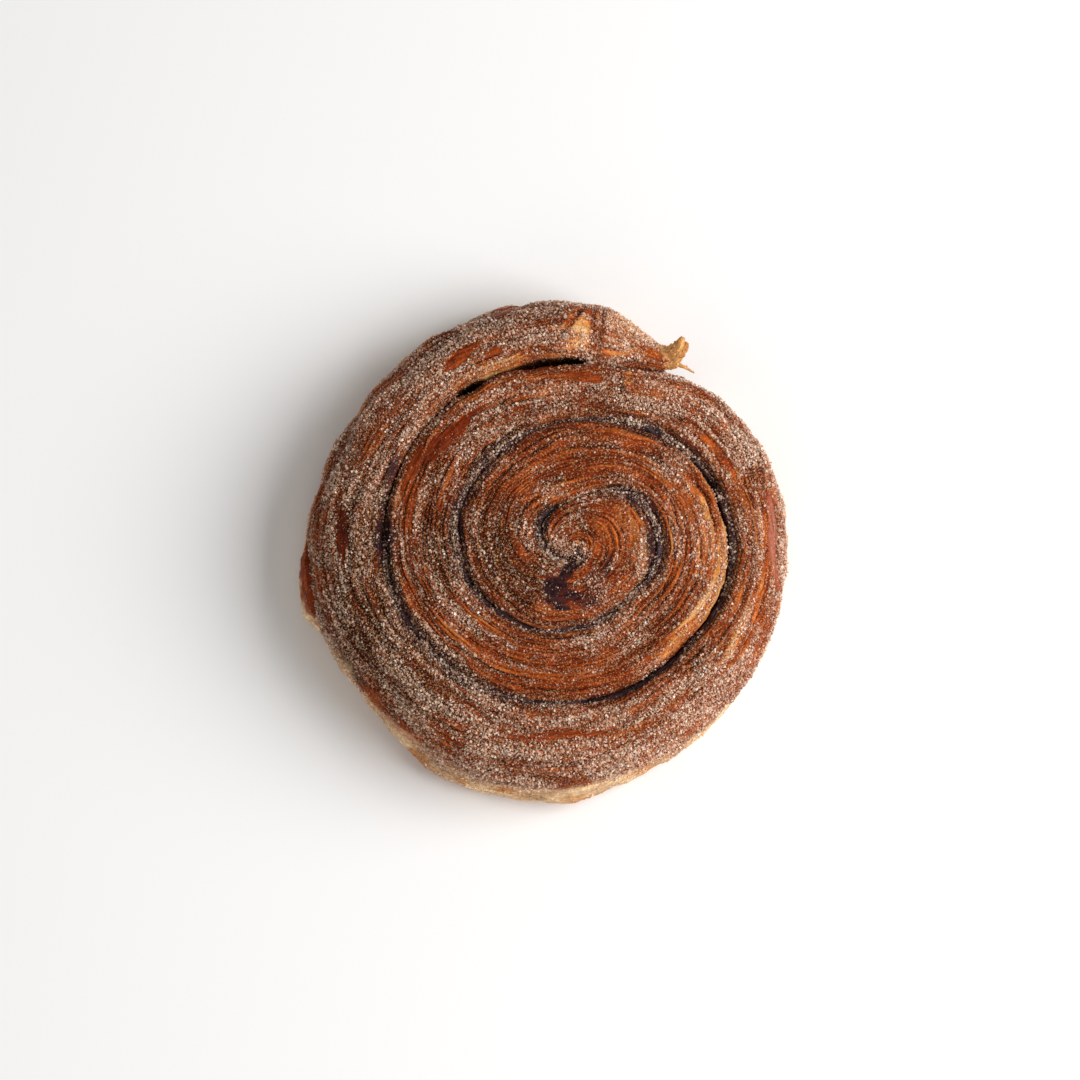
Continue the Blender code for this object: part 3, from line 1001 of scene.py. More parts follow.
    thin_sugar: tuple[Place, ...] = (
        Patch(384, 0.9, 32, 0.07, 0.15), Spot(42.9, -10, 0.9, 8, -11, 0.9), Spot(6.5, 3.5, 5.0, 7, 0, 0.6),
        Spot(-1.9, -6, 1.5, 2.2, -35, 0.6), Spot(2, 19, 13, 4.5, 0, 0.3), Spot(-34, 20, 4, 12, -34, 0.5),
        Spot(-2, -28.5, 17, 5, 0, 0.4), Spot(22, -18, 5, 11, -38, 0.3), Spot(25, 2, 4, 14, 0, 0.2),
        Spot(-42, -26, 9, 14, 40, 0.25), Spot(42, 2, 4, 17, 0, 0.25), Spot(45.8, 1.3, 1.0, 10, 3, 0.8),
        Spot(44.3, -1, 0.7, 12, 2, 0.6), Spot(-2.0, -11.4, 5.8, 4.4, -10, 0.7), Spot(-18, 4, 5, 12, 0, 0.4),
        Spot(-1.8, -7.4, 3.0, 2.2, 30, 0.8), Spot(17.6, 1.5, 2.0, 9.5, 5, 0.45),
        Spot(-43, 0.5, 1.8, 4.8, 3, 0.8),
        Spot(-6, 38.5, 16, 2.6, 4, 0.35), Spot(-4.8, -43.4, 16, 1.4, 2, 0.5), Spot(-0.6, 51, 4.2, 0.6, 50),
        Spot(-49, -6, 6, 22, 0, 0.25), Spot(-33, -2, 4, 13, 0, 0.25))
    cracks: tuple[Crack, ...] = (
        Crack((328, 0.875), (352, 0.885), 0.022, 1.3), Crack((948, 0.30), (975, 0.22), 0.02, 0.9),
        Crack((720, 0.30), (770, 0.34), 0.016, 0.6), Crack((860, 0.36), (905, 0.30), 0.014, 0.7),
        Crack((470, 0.74), (520, 0.78), 0.014, 0.7), Crack((150, 0.5), (196, 0.56), 0.014, 0.6),
        Crack((756, 0.62), (775, 0.70), 0.03, 1.2), Crack((1000, 0.14), (1011, 0.2), 0.03, 1.0))
    mauve: Place = Spot(45.9, 1.3, 1.1, 10, 3, 0.8)


@dataclass(frozen=True)
class BrowningAndPaintedLightTones:
    """Tones of the crust, where 0 is burnt and 1 is pale.

    Plain, bare, fold and hidden are such tones. Each other field says how much its thing lightens or
    darkens the crust. Fold is painted shade along the tail's crease, and hidden painted shade on the walls
    inside the seams. Ridge and thread lighten the layers' crests and darken between them, as painted
    highlight and shade, and furrow is painted shade in furrows, cracks and pits. Golden is partly golden
    bake and partly painted highlight, and dark partly darker bake and partly painted shade.
    """

    plain: float = 0.47
    ridge: float = 0.14
    layer: float = 0.14
    thread: float = 0.1
    cloud: float = 0.12
    drift: float = 0.07
    bare: float = 0.54
    pale: float = 0.3
    golden: float = 0.3
    dark: float = 0.26
    furrow: float = 0.3
    fold: float = 0.24
    hidden: float = 0.14


@dataclass(frozen=True)
class SugarLevels:
    """How thickly sugar lies, where 1 is the thickest coat.

    Plain and least are such levels, and rim, thick, rows, clumps and drifts add to them. Splits takes away,
    and thin, fold, seam and bare are the shares that go where those are.
    """

    plain: float = 0.3
    rim: float = 0.14
    thick: float = 0.75
    rows: float = 0.5
    clumps: float = 0.34
    drifts: float = 0.14
    splits: float = 0.25
    thin: float = 0.95
    fold: float = 0.9
    seam: float = 0.5
    bare: float = 0.92
    least: float = 0.05


@dataclass
class DoughCoil:
    """The coiled strip of laminated dough with its ridges, cracks, bare places and browning.

    Lengths are in millimetres and angles in degrees. Each entry of wander says how far the layers' edges
    stray, in layers, and the length along the strip, the layers across it and the shift of that noise.
    Each entry of lumps is a height and a width. The terrace has its first and last angle, its edge's share
    of the width, the edge's drift and the drop beyond it. The low crust has its first and last angle and
    how much lower it ends. The crease has its angle, half width and depth, and the seam's stain the widths
    at which it starts to fade and is gone. Its colours hold painted shade and highlight besides browning.
    """

    shape: RollShape
    colours: CrustColours = CrustColours()
    marks: CrustMarks = CrustMarks()
    tones: BrowningAndPaintedLightTones = BrowningAndPaintedLightTones()
    levels: SugarLevels = SugarLevels()
    station_step: float = 0.66
    widest_step: float = 2.4
    places: int = 150
    rows_up: int = 12
    rows_over: int = 220
    rows_down: int = 42
    wall_inset: float = 3.4
    hidden_share: float = 0.1
    wall_share: float = 0.42
    layers: float = 14.5
    layer_height: float = 0.5
    fine_height: float = 0.2
    layer_offset: float = 0.36
    split_depth: float = 0.5
    split_width: float = 0.14
    wander: tuple[tuple[float, float, float, float], ...] = (
        (1.0, 32, 4.5, 0.0), (0.8, 90, 1.7, 0.0), (0.26, 8, 2, 3.1), (0.1, 2.4, 1.5, 6.2))
    lumps: tuple[tuple[float, float], ...] = ((0.55, 8), (0.26, 3), (0.12, 1.1))
    wrinkle_height: float = 0.34
    pit_depth: float = 1.1
    crack_waver: float = 0.018
    flattened: float = 0.85
    dusted: float = 0.12
    dough: Noise = Noise(11)
    folds: Noise = Noise(23)
    browning: Noise = Noise(37)
    sprinkling: Noise = Noise(53)
    terrace: tuple[float, float, float, float, float] = (690, 784, 0.5, 0.15, 1.3)
    low_crust: tuple[float, float, float] = (676, 806, 4.2)
    crease: tuple[float, float, float] = (995.4, 1.0, 0.6)
    seam_stain: tuple[float, float] = (0.9, 1.7)

    def stations(self) -> Array:
        """Spreads the sections, closer together where the strip turns wide.

        Returns:
            Their angles.
        """
        fine = np.linspace(-360, self.shape.seam_end, 8000)
        _, outer, _ = self.shape.sides(fine)
        least = self.station_step / math.radians(self.widest_step)
        length = np.cumsum(np.maximum(outer, least)) * np.radians(fine[1] - fine[0])
        count = int((length[-1] - length[0]) / self.station_step)
        return np.interp(np.linspace(length[0], length[-1], count), length, fine)

    def outline(self, angle: Array) -> tuple[Array, Array, Array]:
        """Fine sections of the strip without relief.

        Args:
            angle: Angles of the sections.

        Returns:
            The share, radius and height of the points of each section.
        """
        inner, outer, free = (v[:, None] for v in self.shape.sides(angle))
        column = angle[:, None]
        start, end, ledge = self.shape.belly_ledge
        ledge = ledge * rise_and_fall(column + 360, start, end, 30) * free
        top = 0.5 - 0.5 * np.cos(np.pi * np.linspace(0, 1, self.rows_over))[None, :]
        top_radius = inner + (outer - inner) * top - ledge * top
        top_height = self.shape.top_height(column, top, inner + (outer - inner) * top, free)
        up = np.linspace(0, 1, self.rows_up)[None, :-1]
        down = np.linspace(1, 0, self.rows_down)[None, 1:]
        inset = self.wall_inset * np.clip(1 - down / 0.45, 0, 1) ** 2.2
        inset = inset + ledge * smooth_step(down, 0.55, 0.85)
        wall_radius = np.maximum(inner, outer - inset * free)
        rows = (len(angle), 1)
        share = np.concatenate([np.tile(part, rows) for part in (up - 1, top, 2 - down)], axis=1)
        radius = np.concatenate([inner + 0 * up, top_radius, wall_radius + 0 * down], axis=1)
        height = np.concatenate([top_height[:, :1] * up, top_height, top_height[:, -1:] * down], axis=1)
        return share, radius, height

    def sheet(self) -> Sheet:
        """Lays out the strip's surface without relief, with its places spread by how much of them shows.

        Returns:
            The surface.
        """
        angle = self.stations()
        inner, outer, free = self.shape.sides(angle)
        fine_share, fine_radius, fine_height = self.outline(angle)
        length = np.hypot(np.diff(fine_radius, axis=1), np.diff(fine_height, axis=1)) + 1e-6
        middle = 0.5 * (fine_share[:, 1:] + fine_share[:, :-1])
        hidden = np.where(middle > 1, self.hidden_share + self.wall_share * free[:, None], self.hidden_share)
        shown = np.where((middle > 0) & (middle < 1), 1.0, hidden)
        measure = np.concatenate([np.zeros((len(angle), 1)), np.cumsum(length * shown, axis=1)], axis=1)
        share = np.empty((len(angle), self.places))
        radius, height = np.empty_like(share), np.empty_like(share)
        for i in range(len(angle)):
            places = np.linspace(0, measure[i, -1], self.places)
            share[i] = np.interp(places, measure[i], fine_share[i])
            radius[i] = np.interp(places, measure[i], fine_radius[i])
            height[i] = np.interp(places, measure[i], fine_height[i])
        d_radius, d_height = np.gradient(radius, axis=1), np.gradient(height, axis=1)
        size = np.hypot(d_radius, d_height) + 1e-9
        step = np.radians(np.gradient(angle)) * 0.5 * (inner + outer)
        column = np.repeat(angle[:, None], self.places, axis=1)
        along = np.repeat(np.cumsum(step)[:, None], self.places, axis=1)
        width = (outer - inner)[:, None]
        right, up = self.shape.seen(column, radius, height)
        return Sheet(
            angle=column, share=share, along=along, across=np.clip(share, 0, 1) * width,
            radius=radius, height=height, out_radius=-d_height / size, out_height=d_radius / size,
            width=width + 0 * share, free=free[:, None] + 0 * share, seen_right=right, seen_up=up)

    def layering(self, sheet: Sheet) -> Layering:
        """Works out where the edges of the dough's layers run.

        Args:
            sheet: The surface.

        Returns:
            The layers' edges.
        """
        place = sheet.share * self.layers
        strayed = np.zeros_like(place)
        for size, length, across, shift in self.wander:
            strayed = strayed + size * self.dough.at(sheet.along / length, place / across, shift)
        phase = place + strayed
        layer = np.floor(phase)
        inside = phase - layer
        ridge = 1 - np.abs(2 * inside - 1) ** 1.7
        thread = 2.3 * phase + 0.4 * self.folds.at(sheet.along / 4, phase * 1.3, 15.0)
        fine = 1 - np.abs(2 * (thread - np.floor(thread)) - 1) ** 1.4
        fine = fine * (0.6 + 0.6 * self.folds.at(np.floor(thread) * 3.7, sheet.along / 4, 17.0))
        strength = 0.55 + 0.6 * self.folds.at(layer * 5.3, sheet.along / 7.5)
        broken = smooth_step(self.folds.at(layer * 3.1, sheet.along / 3.4, 5.0), -0.62, -0.3)
        here = self.folds.at(layer * 9.7, sheet.along / 14, 8.0)
        after = self.folds.at((layer + 1) * 9.7, sheet.along / 14, 8.0)
        edge = np.floor(phase + 0.5)
        open_here = smooth_step(self.folds.at(edge * 6.1, sheet.along / 17, 21.0), -0.1, 0.4)
        split = open_here * np.exp(-(((phase - edge) / self.split_width) ** 2))
        offset = blend(here, after, smooth_step(inside, 0.72, 1.0))
        return Layering(phase, ridge, fine, strength * (0.45 + 0.55 * broken), offset, split)

    def covered(self, sheet: Sheet, places: tuple[Place, ...]) -> Array:
        """How strongly a set of places covers the surface.

        Args:
            sheet: The surface.
            places: The places.

        Returns:
            The cover, 0 to 1.
        """
        ragged = self.browning.rough(sheet.along / 3.4, sheet.across / 1.1, 2.0)
        total = np.zeros_like(sheet.share)
        for place in places:
            total = np.maximum(total, place.cover(sheet, ragged))
        return total

    def flatness(self, sheet: Sheet) -> Array:
        """0 to 1 for how bare and smooth the crust is."""
        return smooth_step(self.covered(sheet, self.marks.bare), 0.25, 0.6) * self.above_wall(sheet)

    def above_wall(self, sheet: Sheet) -> Array:
        """1 on the top and the rounded rim, and 0 with a ragged edge below them."""
        ragged = 2.5 * self.browning.rough(sheet.along / 4, sheet.height / 4, 20.0)
        return smooth_step(sheet.height + ragged, 15, 21)

    def cut(self, sheet: Sheet) -> Array:
        """How deep the cracks and pits are.

        Args:
            sheet: The surface.

        Returns:
            The depth in millimetres.
        """
        total = self.pit_depth * self.covered(sheet, self.marks.pits)
        for crack in self.marks.cracks:
            (first, low), (last, high) = crack.start, crack.end
            way = np.clip((sheet.angle - first) / (last - first), 0, 1)
            line = blend(low, high, way) + self.crack_waver * self.folds.at(sheet.along / 2.2, 0.0, 4.0)
            near = hill(sheet.share, line, crack.half_width)
            total = np.maximum(total, crack.depth * near * np.sin(np.pi * way) ** 0.5)
        return total * (sheet.share > 0)

    def fold(self, sheet: Sheet) -> tuple[Array, Array]:
        """The crease across the tail.

        Args:
            sheet: The surface.

        Returns:
            Its depth in millimetres, and its line, 0 to 1, which the tint darkens as painted shade.
        """
        place, half, depth = self.crease
        place = place + 0.4 * self.folds.at(sheet.share * 5, 0.0, 6.0)
        lines = hill(sheet.angle, place + half, 0.5) + 0.8 * hill(sheet.angle, place - half, 0.45)
        on = rise_and_fall(sheet.share, -0.05, 1.02, 0.15)
        return (depth * lines - 0.25 * hill(sheet.angle, place, 0.4)) * on, lines * on

    def relief(self, sheet: Sheet, layering: Layering) -> tuple[Array, Array]:
        """How far the surface stands out from its smooth form.

        Args:
            sheet: The surface.
            layering: Its layers' edges.

        Returns:
            The relief in millimetres, and how deep in a furrow each place is, 0 to 1.
        """
        flat = np.maximum(self.flatness(sheet), 0.75 * self.covered(sheet, self.marks.pale))
        on_top = smooth_step(sheet.share, 0.0, 0.07) * smooth_step(-sheet.share, -1.12, -0.9)
        room = np.clip(sheet.width / 9, 0.12, 1)
        layered = self.layer_height * layering.strength * (layering.ridge - 0.62)
        layered = layered + self.layer_offset * layering.offset
        split = layering.split * (0.45 + 0.55 * smooth_step(sheet.angle, 300, 620))
        layered = layered + self.fine_height * layering.fine - self.split_depth * split
        layered = layered * room * on_top * (1 - self.flattened * flat)
        x, y = self.shape.plan(sheet.angle, sheet.radius)
        z = sheet.height
        lumps = np.zeros_like(z)
        for size, width in self.lumps:
            lumps = lumps + size * self.dough.at(x / width, y / width, z / width)
        wall = smooth_step(sheet.share, 0.96, 1.15) * sheet.free
        lumps = lumps * (on_top + 1.3 * wall)
        wrinkles = self.wrinkle_height * wall * self.folds.at(sheet.along / 9, z / 1.6)
        start, end, share, drift, drop = self.terrace
        edge = share + drift * (sheet.angle - start) / (end - start)
        edge = edge + 0.035 * self.folds.at(sheet.along / 6, 0.0, 9.0)
        step = drop * rise_and_fall(sheet.angle, start, end, 18)
        step = step * smooth_step(sheet.share - edge, -0.02, 0.02) * (1 - smooth_step(sheet.share, 0.86, 1.0))
        fold, crease = self.fold(sheet)
        cut = self.cut(sheet)
        # Depth in the furrows, splits, cracks, pits and crease, which the tint darkens as painted shade.
        low = np.clip(1 - layering.ridge, 0, 1) ** 2 * 0.6 + 0.65 * split
        furrow = np.clip(low * on_top * (1 - self.flattened * flat) + cut / 0.9 + 0.8 * crease, 0, 1)
        return layered + lumps + wrinkles - step - fold - cut, furrow

    def sugar(self, sheet: Sheet, layering: Layering) -> Array:
        """How thickly sugar lies on the surface.

        Args:
            sheet: The surface.
            layering: Its layers' edges.

        Returns:
            The sugar, 0 to 1.
        """
        levels, sprinkling = self.levels, self.sprinkling
        rim = smooth_step(sheet.angle, 560, 700)
        level = levels.plain + levels.rim * rim + levels.thick * self.covered(sheet, self.marks.thick_sugar)
        rows = sprinkling.at(sheet.along / 9, layering.phase * 0.8)
        rows = rows + 0.5 * sprinkling.at(sheet.along / 4, layering.phase * 1.9, 3.0)
        clumps = sprinkling.rough(sheet.seen_right / 1.7, sheet.seen_up / 1.7, 4.0)
        drifts = sprinkling.at(sheet.seen_right / 7, sheet.seen_up / 7, 8.0)
        level = level + levels.rows * rows + levels.clumps * clumps + levels.drifts * drifts
        level = np.clip(level - levels.splits * layering.split, 0, 1)
        level = level * (1 - levels.thin * smooth_step(self.covered(sheet, self.marks.thin_sugar), 0.0, 0.9))
        level = level * (1 - levels.fold * np.clip(self.fold(sheet)[1], 0, 1))
        level = level * (1 - levels.seam * self.beside_seam(sheet)) * (1 - levels.bare * self.flatness(sheet))
        wall = sheet.free * smooth_step(sheet.height, 1, 12)
        level = np.where(sheet.share > 1, level * wall, level) * smooth_step(sheet.share, -0.12, 0.0)
        return np.clip(level, levels.least, 1)

    def beside_seam(self, sheet: Sheet) -> Array:
        """How strongly the filling has stained the dough beside the seam.

        Args:
            sheet: The surface.

        Returns:
            The stain, 0 to 1.
        """
        near, far = self.seam_stain
        reach = far * (1 + 0.5 * self.browning.rough(sheet.along / 5, 0.0, 14.0))
        inside = smooth_step(-sheet.across / reach, -1.0, -near / far) * self.shape.marking(sheet.angle)
        outside = smooth_step((sheet.across - sheet.width) / reach, -1.0, -near / far) * (1 - sheet.free)
        outside = outside * (1 - 0.9 * self.shape.bareness(sheet.angle + 360))
        return np.maximum(inside * (sheet.angle > 40), outside * self.shape.marking(sheet.angle + 360))

    def tint(self, sheet: Sheet, layering: Layering, furrow: Array, sugar: Array) -> Array:
        """Colours of the crust, with painted shade and highlight in them.

        Args:
            sheet: The surface.
            layering: Its layers' edges.
            furrow: How deep in a furrow each place is, which this darkens as painted shade.
            sugar: How thickly sugar lies on it.

        Returns:
            Linear colours with one more axis.
        """
        tones, marks, browning = self.tones, self.marks, self.browning
        # Lighter on the layers' crests and fine threads and darker between them: painted highlight and shade.
        tone = tones.plain + tones.ridge * (layering.ridge * layering.strength - 0.4)
        tone = tone + tones.layer * layering.offset + tones.thread * (layering.fine - 0.4)
        tone = tone + tones.cloud * browning.rough(sheet.along / 5, sheet.across / 2.2)
        tone = tone + tones.drift * browning.at(sheet.along / 24, sheet.across / 8, 11.0)
        tone = blend(tone, tones.bare, 0.85 * self.flatness(sheet))
        tone = tone + tones.pale * self.covered(sheet, marks.pale)
        # Golden places lighten the crust, partly as painted highlight.
        tone = tone + tones.golden * self.covered(sheet, marks.golden)
        # Dark places darken it, partly as painted shade, and furrows, cracks and pits as painted shade.
        tone = tone - tones.dark * self.covered(sheet, marks.dark) - tones.furrow * furrow
        # Painted shade along the tail's crease.
        tone = blend(tone, tones.fold, 0.9 * np.clip(self.fold(sheet)[1], 0, 1))
        colour = self.colours.at(np.clip(tone, 0, 1))
        edge = 3.6 * browning.rough(sheet.along / 9, 0.0, 16.0) + 1.0 * browning.at(sheet.along / 1.6, 3.0)
        edge = edge + 1.5 * browning.rough(sheet.along / 3, sheet.height / 3, 13.0)
        start, end, lower = self.low_crust
        edge = edge - lower * rise_and_fall(sheet.angle, start, end, 30)
        wall = smooth_step(edge - sheet.height, -16, -10) * sheet.free * smooth_step(sheet.share, 0.7, 0.9)
        patchy = np.clip(0.8 + 0.5 * browning.rough(sheet.along / 7, sheet.height / 4, 7.0), 0, 1)
        amber = 0.8 * self.covered(sheet, marks.amber) * smooth_step(sheet.share, 0.9, 1.05)
        dusty = self.dusted * sugar * (sheet.share > -0.05)
        base = smooth_step(-sheet.height - 1.5 * browning.at(sheet.along / 6, 0.0, 18.0), -7, 0.5) * wall
        # Painted shade on the walls inside the seams, between the turns: a burnt tone.
        hidden = smooth_step(sheet.share, 1.0, 1.2) * (1 - sheet.free)
        hidden = 0.9 * np.maximum(smooth_step(-sheet.share, 0.0, 0.12), hidden)
        stain = self.covered(sheet, marks.stained)
        blotches = browning.rough(sheet.seen_right / 1.2, sheet.seen_up / 1.2, 19.0)
        stain = stain * smooth_step(stain + 0.5 * blotches, 0.0, 0.6)
        stain = np.maximum(smooth_step(stain, 0.1, 0.8), 0.9 * self.beside_seam(sheet))
        stain = stain * np.clip(0.9 + 0.5 * browning.rough(sheet.along / 2, sheet.across, 6.0), 0, 1)
        mauve = marks.mauve.cover(sheet, 0 * tone) * self.above_wall(sheet)
        coats = (
            (self.colours.wall, wall * patchy), (self.colours.amber, amber), (self.colours.dust, dusty),
            (self.colours.under, base), (self.colours.at(np.array(tones.hidden)), hidden),
            (self.colours.stain, np.clip(stain, 0, 1)), (self.colours.mauve, mauve))
        for coat, cover in coats:
            colour = blend(colour, np.asarray(coat), cover[..., None])
        return colour

    def build(self) -> tuple[bpy.types.Mesh, Ground]:
        """Makes the coil's mesh.

        Returns:
            The mesh and the ground it offers to the sugar.
        """
        sheet = self.sheet()
        layering = self.layering(sheet)
        relief, furrow = self.relief(sheet, layering)
        sugar = self.sugar(sheet, layering)
        tint = self.tint(sheet, layering, furrow, sugar)
        radius = np.maximum(sheet.radius + sheet.out_radius * relief, 0)
        height = np.maximum(sheet.height + sheet.out_height * relief, 0)
        radius = np.where((sheet.angle <= 0) & (sheet.share <= 0), 0.0, radius)
        radius[:, [0, -1]] = sheet.radius[:, [0, -1]]
        height[:, [0, -1]] = 0.0
        end = smooth_step(sheet.angle, self.shape.seam_end - 7, self.shape.seam_end)
        ragged = 1.3 * end * self.folds.at(sheet.share * 9, 0.0, 12.0)
        points = self.shape.space(sheet.angle + ragged, radius, height)
        mesh = tube_mesh("pastry_coil_crust", points)
        put_attribute(mesh, Attribute.TINT, tint.reshape(-1, 3))
        stain = smooth_step(self.covered(sheet, self.marks.stained), 0.1, 0.6)
        gloss = np.clip(0.25 + 0.75 * self.flatness(sheet) - 0.3 * sugar + 0.4 * stain, 0, 1)
        put_attribute(mesh, Attribute.GLOSS, gloss.ravel())
        tail = np.interp(986, sheet.angle[:, 0], sheet.along[:, 0])
        along = sheet.along + 4 * np.maximum(sheet.along - tail, 0)
        across = layering.phase - 0.7 * self.layers * np.maximum(sheet.share - 1, 0)
        layers = np.stack([along, across, sheet.height * 0.3], axis=-1)
        put_attribute(mesh, Attribute.LAYERS, layers.reshape(-1, 3))
        return mesh, Ground(points, tint, sugar)


@dataclass
class FillingBand:
    """The dark filling that shows in the seam between the turns."""

    shape: RollShape
    step: float = 0.6
    proud: float = 0.5
    waver: float = 0.8
    sink: tuple[float, float, float] = (900, 935, 12.0)
    foot: float = 0.6
    overlap: float = 0.75
    shoulder: float = 1.5
    hidden_drop: float = 1.4
    lump: float = 0.5
    sugared: float = 0.55
    lumps: Noise = Noise(71)

    def build(self) -> tuple[bpy.types.Mesh, Ground]:
        """Makes the band's mesh.

        Returns:
            The mesh and the ground it offers to the sugar.
        """
        first, last = self.shape.filling_span
        fine = np.linspace(first, last, 4000)
        length = np.cumsum(self.shape.seam_radius(fine)) * math.radians(fine[1] - fine[0])
        angle = np.interp(np.linspace(0, length[-1], int(length[-1] / self.step)), length, fine)[:, None]
        middle, arc = self.shape.seam_radius(angle), self.shape.arc(angle)
        opening = smooth_step(angle, 0, self.shape.slot_opening)
        outer = middle + self.shape.slot_width(angle) / 2 + 0.1 * opening
        inner = outer - (self.shape.filling_width(angle) + self.overlap) * opening
        start, end, depth = self.sink
        top = self.shape.dome(middle) - self.shape.valley(angle) + self.proud
        top = top + self.waver * self.lumps.rough(arc / 8, 2.0) - depth * smooth_step(angle, start, end)
        top = top - self.hidden_drop * (1 - self.shape.marking(angle))
        side = np.array([0.0, 0.35, 0.7, 0.9])[None, :]
        arch = np.linspace(0, 1, 15)[None, :]
        shoulder = top - self.shoulder
        rise = self.shoulder * np.sqrt(np.clip(1 - (2 * arch - 1) ** 2, 0, 1))
        walls = self.foot + (shoulder - self.foot) * side
        radius = np.concatenate([inner + 0 * side, inner + (outer - inner) * arch, outer + 0 * side], axis=1)
        height = np.concatenate([walls, shoulder + rise, walls[:, ::-1]], axis=1)
        crown = np.concatenate([0 * side, np.sin(np.pi * arch) ** 0.5, 0 * side], axis=1)
        bumps = self.lumps.at(arc / 1.7, radius / 1.1) + 0.6 * self.lumps.at(arc / 0.8, radius / 0.6, 5.0)
        height = height + self.lump * crown * bumps
        points = self.shape.space(angle, radius, height)
        clumps = self.lumps.rough(arc / 4, radius / 3, 8.0)
        arch_side = np.concatenate([0 * side, 2 * arch - 1, 0 * side], axis=1)
        sugar = self.sugared - 0.2 * self.shape.bareness(angle) + 0.8 * clumps + 0.3 * arch_side
        sugar = np.clip(crown * sugar, 0, 1)
        tint = np.broadcast_to(np.asarray(FillingFinish().light), points.shape)
        return tube_mesh("cinnamon_filling_paste", points), Ground(points, tint, sugar)


@dataclass(frozen=True)
class TornTip:
    """A torn tongue of dough.

    Its path lists a radius, angle and height, its sizes the width and thickness there, and its tones those
    of its root and tip.
    """

    name: str
    path: tuple[tuple[float, float, float], ...]
    sizes: tuple[tuple[float, float], ...]
    tones: tuple[float, float]
    seed: int
    rings: int = 44
    sides: int = 22
    unevenness: float = 0.3
    droop: float = 0.16
    gloss: float = 0.7
    sugared: float = 0.5

    def build(self, shape: RollShape, colours: CrustColours) -> tuple[bpy.types.Mesh, Ground]:
        """Makes the tongue's mesh.

        Args:
            shape: The roll's form.
            colours: The crust's colours.

        Returns:
            The mesh and the ground it offers to the sugar.
        """
        noise = Noise(self.seed)
        way = np.linspace(0, len(self.path) - 1, self.rings)
        radius, angle, height = (smooth_list(tuple(p[k] for p in self.path), way) for k in range(3))
        wide, thick = (smooth_list(tuple(s[k] for s in self.sizes), way) for k in range(2))
        middle = shape.space(angle, radius, height)
        along = np.gradient(middle, axis=0)
        along /= np.linalg.norm(along, axis=1, keepdims=True)
        side = np.cross(along, (0.0, 0.0, 1.0))
        side /= np.linalg.norm(side, axis=1, keepdims=True)
        up = np.cross(side, along)
        turn = np.linspace(0, 2 * np.pi, self.sides, endpoint=False)[None, :]
        column = way[:, None]
        across, above = np.cos(turn), np.sin(turn)
        uneven = 1 + self.unevenness * noise.rough(column * 2.5, across * 2, above * 2)
        out = across * wide[:, None] / 2 * uneven
        rise = above * thick[:, None] / 2 * uneven - self.droop * wide[:, None] * across ** 2
        points = middle[:, None] + (side[:, None] * out[..., None] + up[:, None] * rise[..., None]) * MM
        tone = blend(*self.tones, (column / way[-1]) ** 1.5) + 0.16 * (uneven - 1)
        # Darker at the thin side edges, and darker underneath as painted shade.
        tone = tone - 0.12 * np.abs(across) ** 6 - 0.25 * (above < -0.3)
        tint = blend(colours.at(np.clip(tone, 0, 1)), np.asarray(colours.leaf), 0.75 * tone[..., None])
        mesh = tube_mesh(self.name, points)
        put_attribute(mesh, Attribute.TINT, tint.reshape(-1, 3))
        put_attribute(mesh, Attribute.GLOSS, np.full(tone.size, self.gloss))
        layers = np.stack([column * 4 + 0 * turn, turn * 1.6 + 0 * column, 0 * tone], axis=-1)
        put_attribute(mesh, Attribute.LAYERS, layers.reshape(-1, 3))
        sugar = 0.5 - 0.5 * column / way[-1] + 0.4 * noise.at(column * 3, turn * 2)
        sugar = np.clip(sugar, 0, 1) * (above > 0)
        return mesh, Ground(points, tint, self.sugared * sugar)


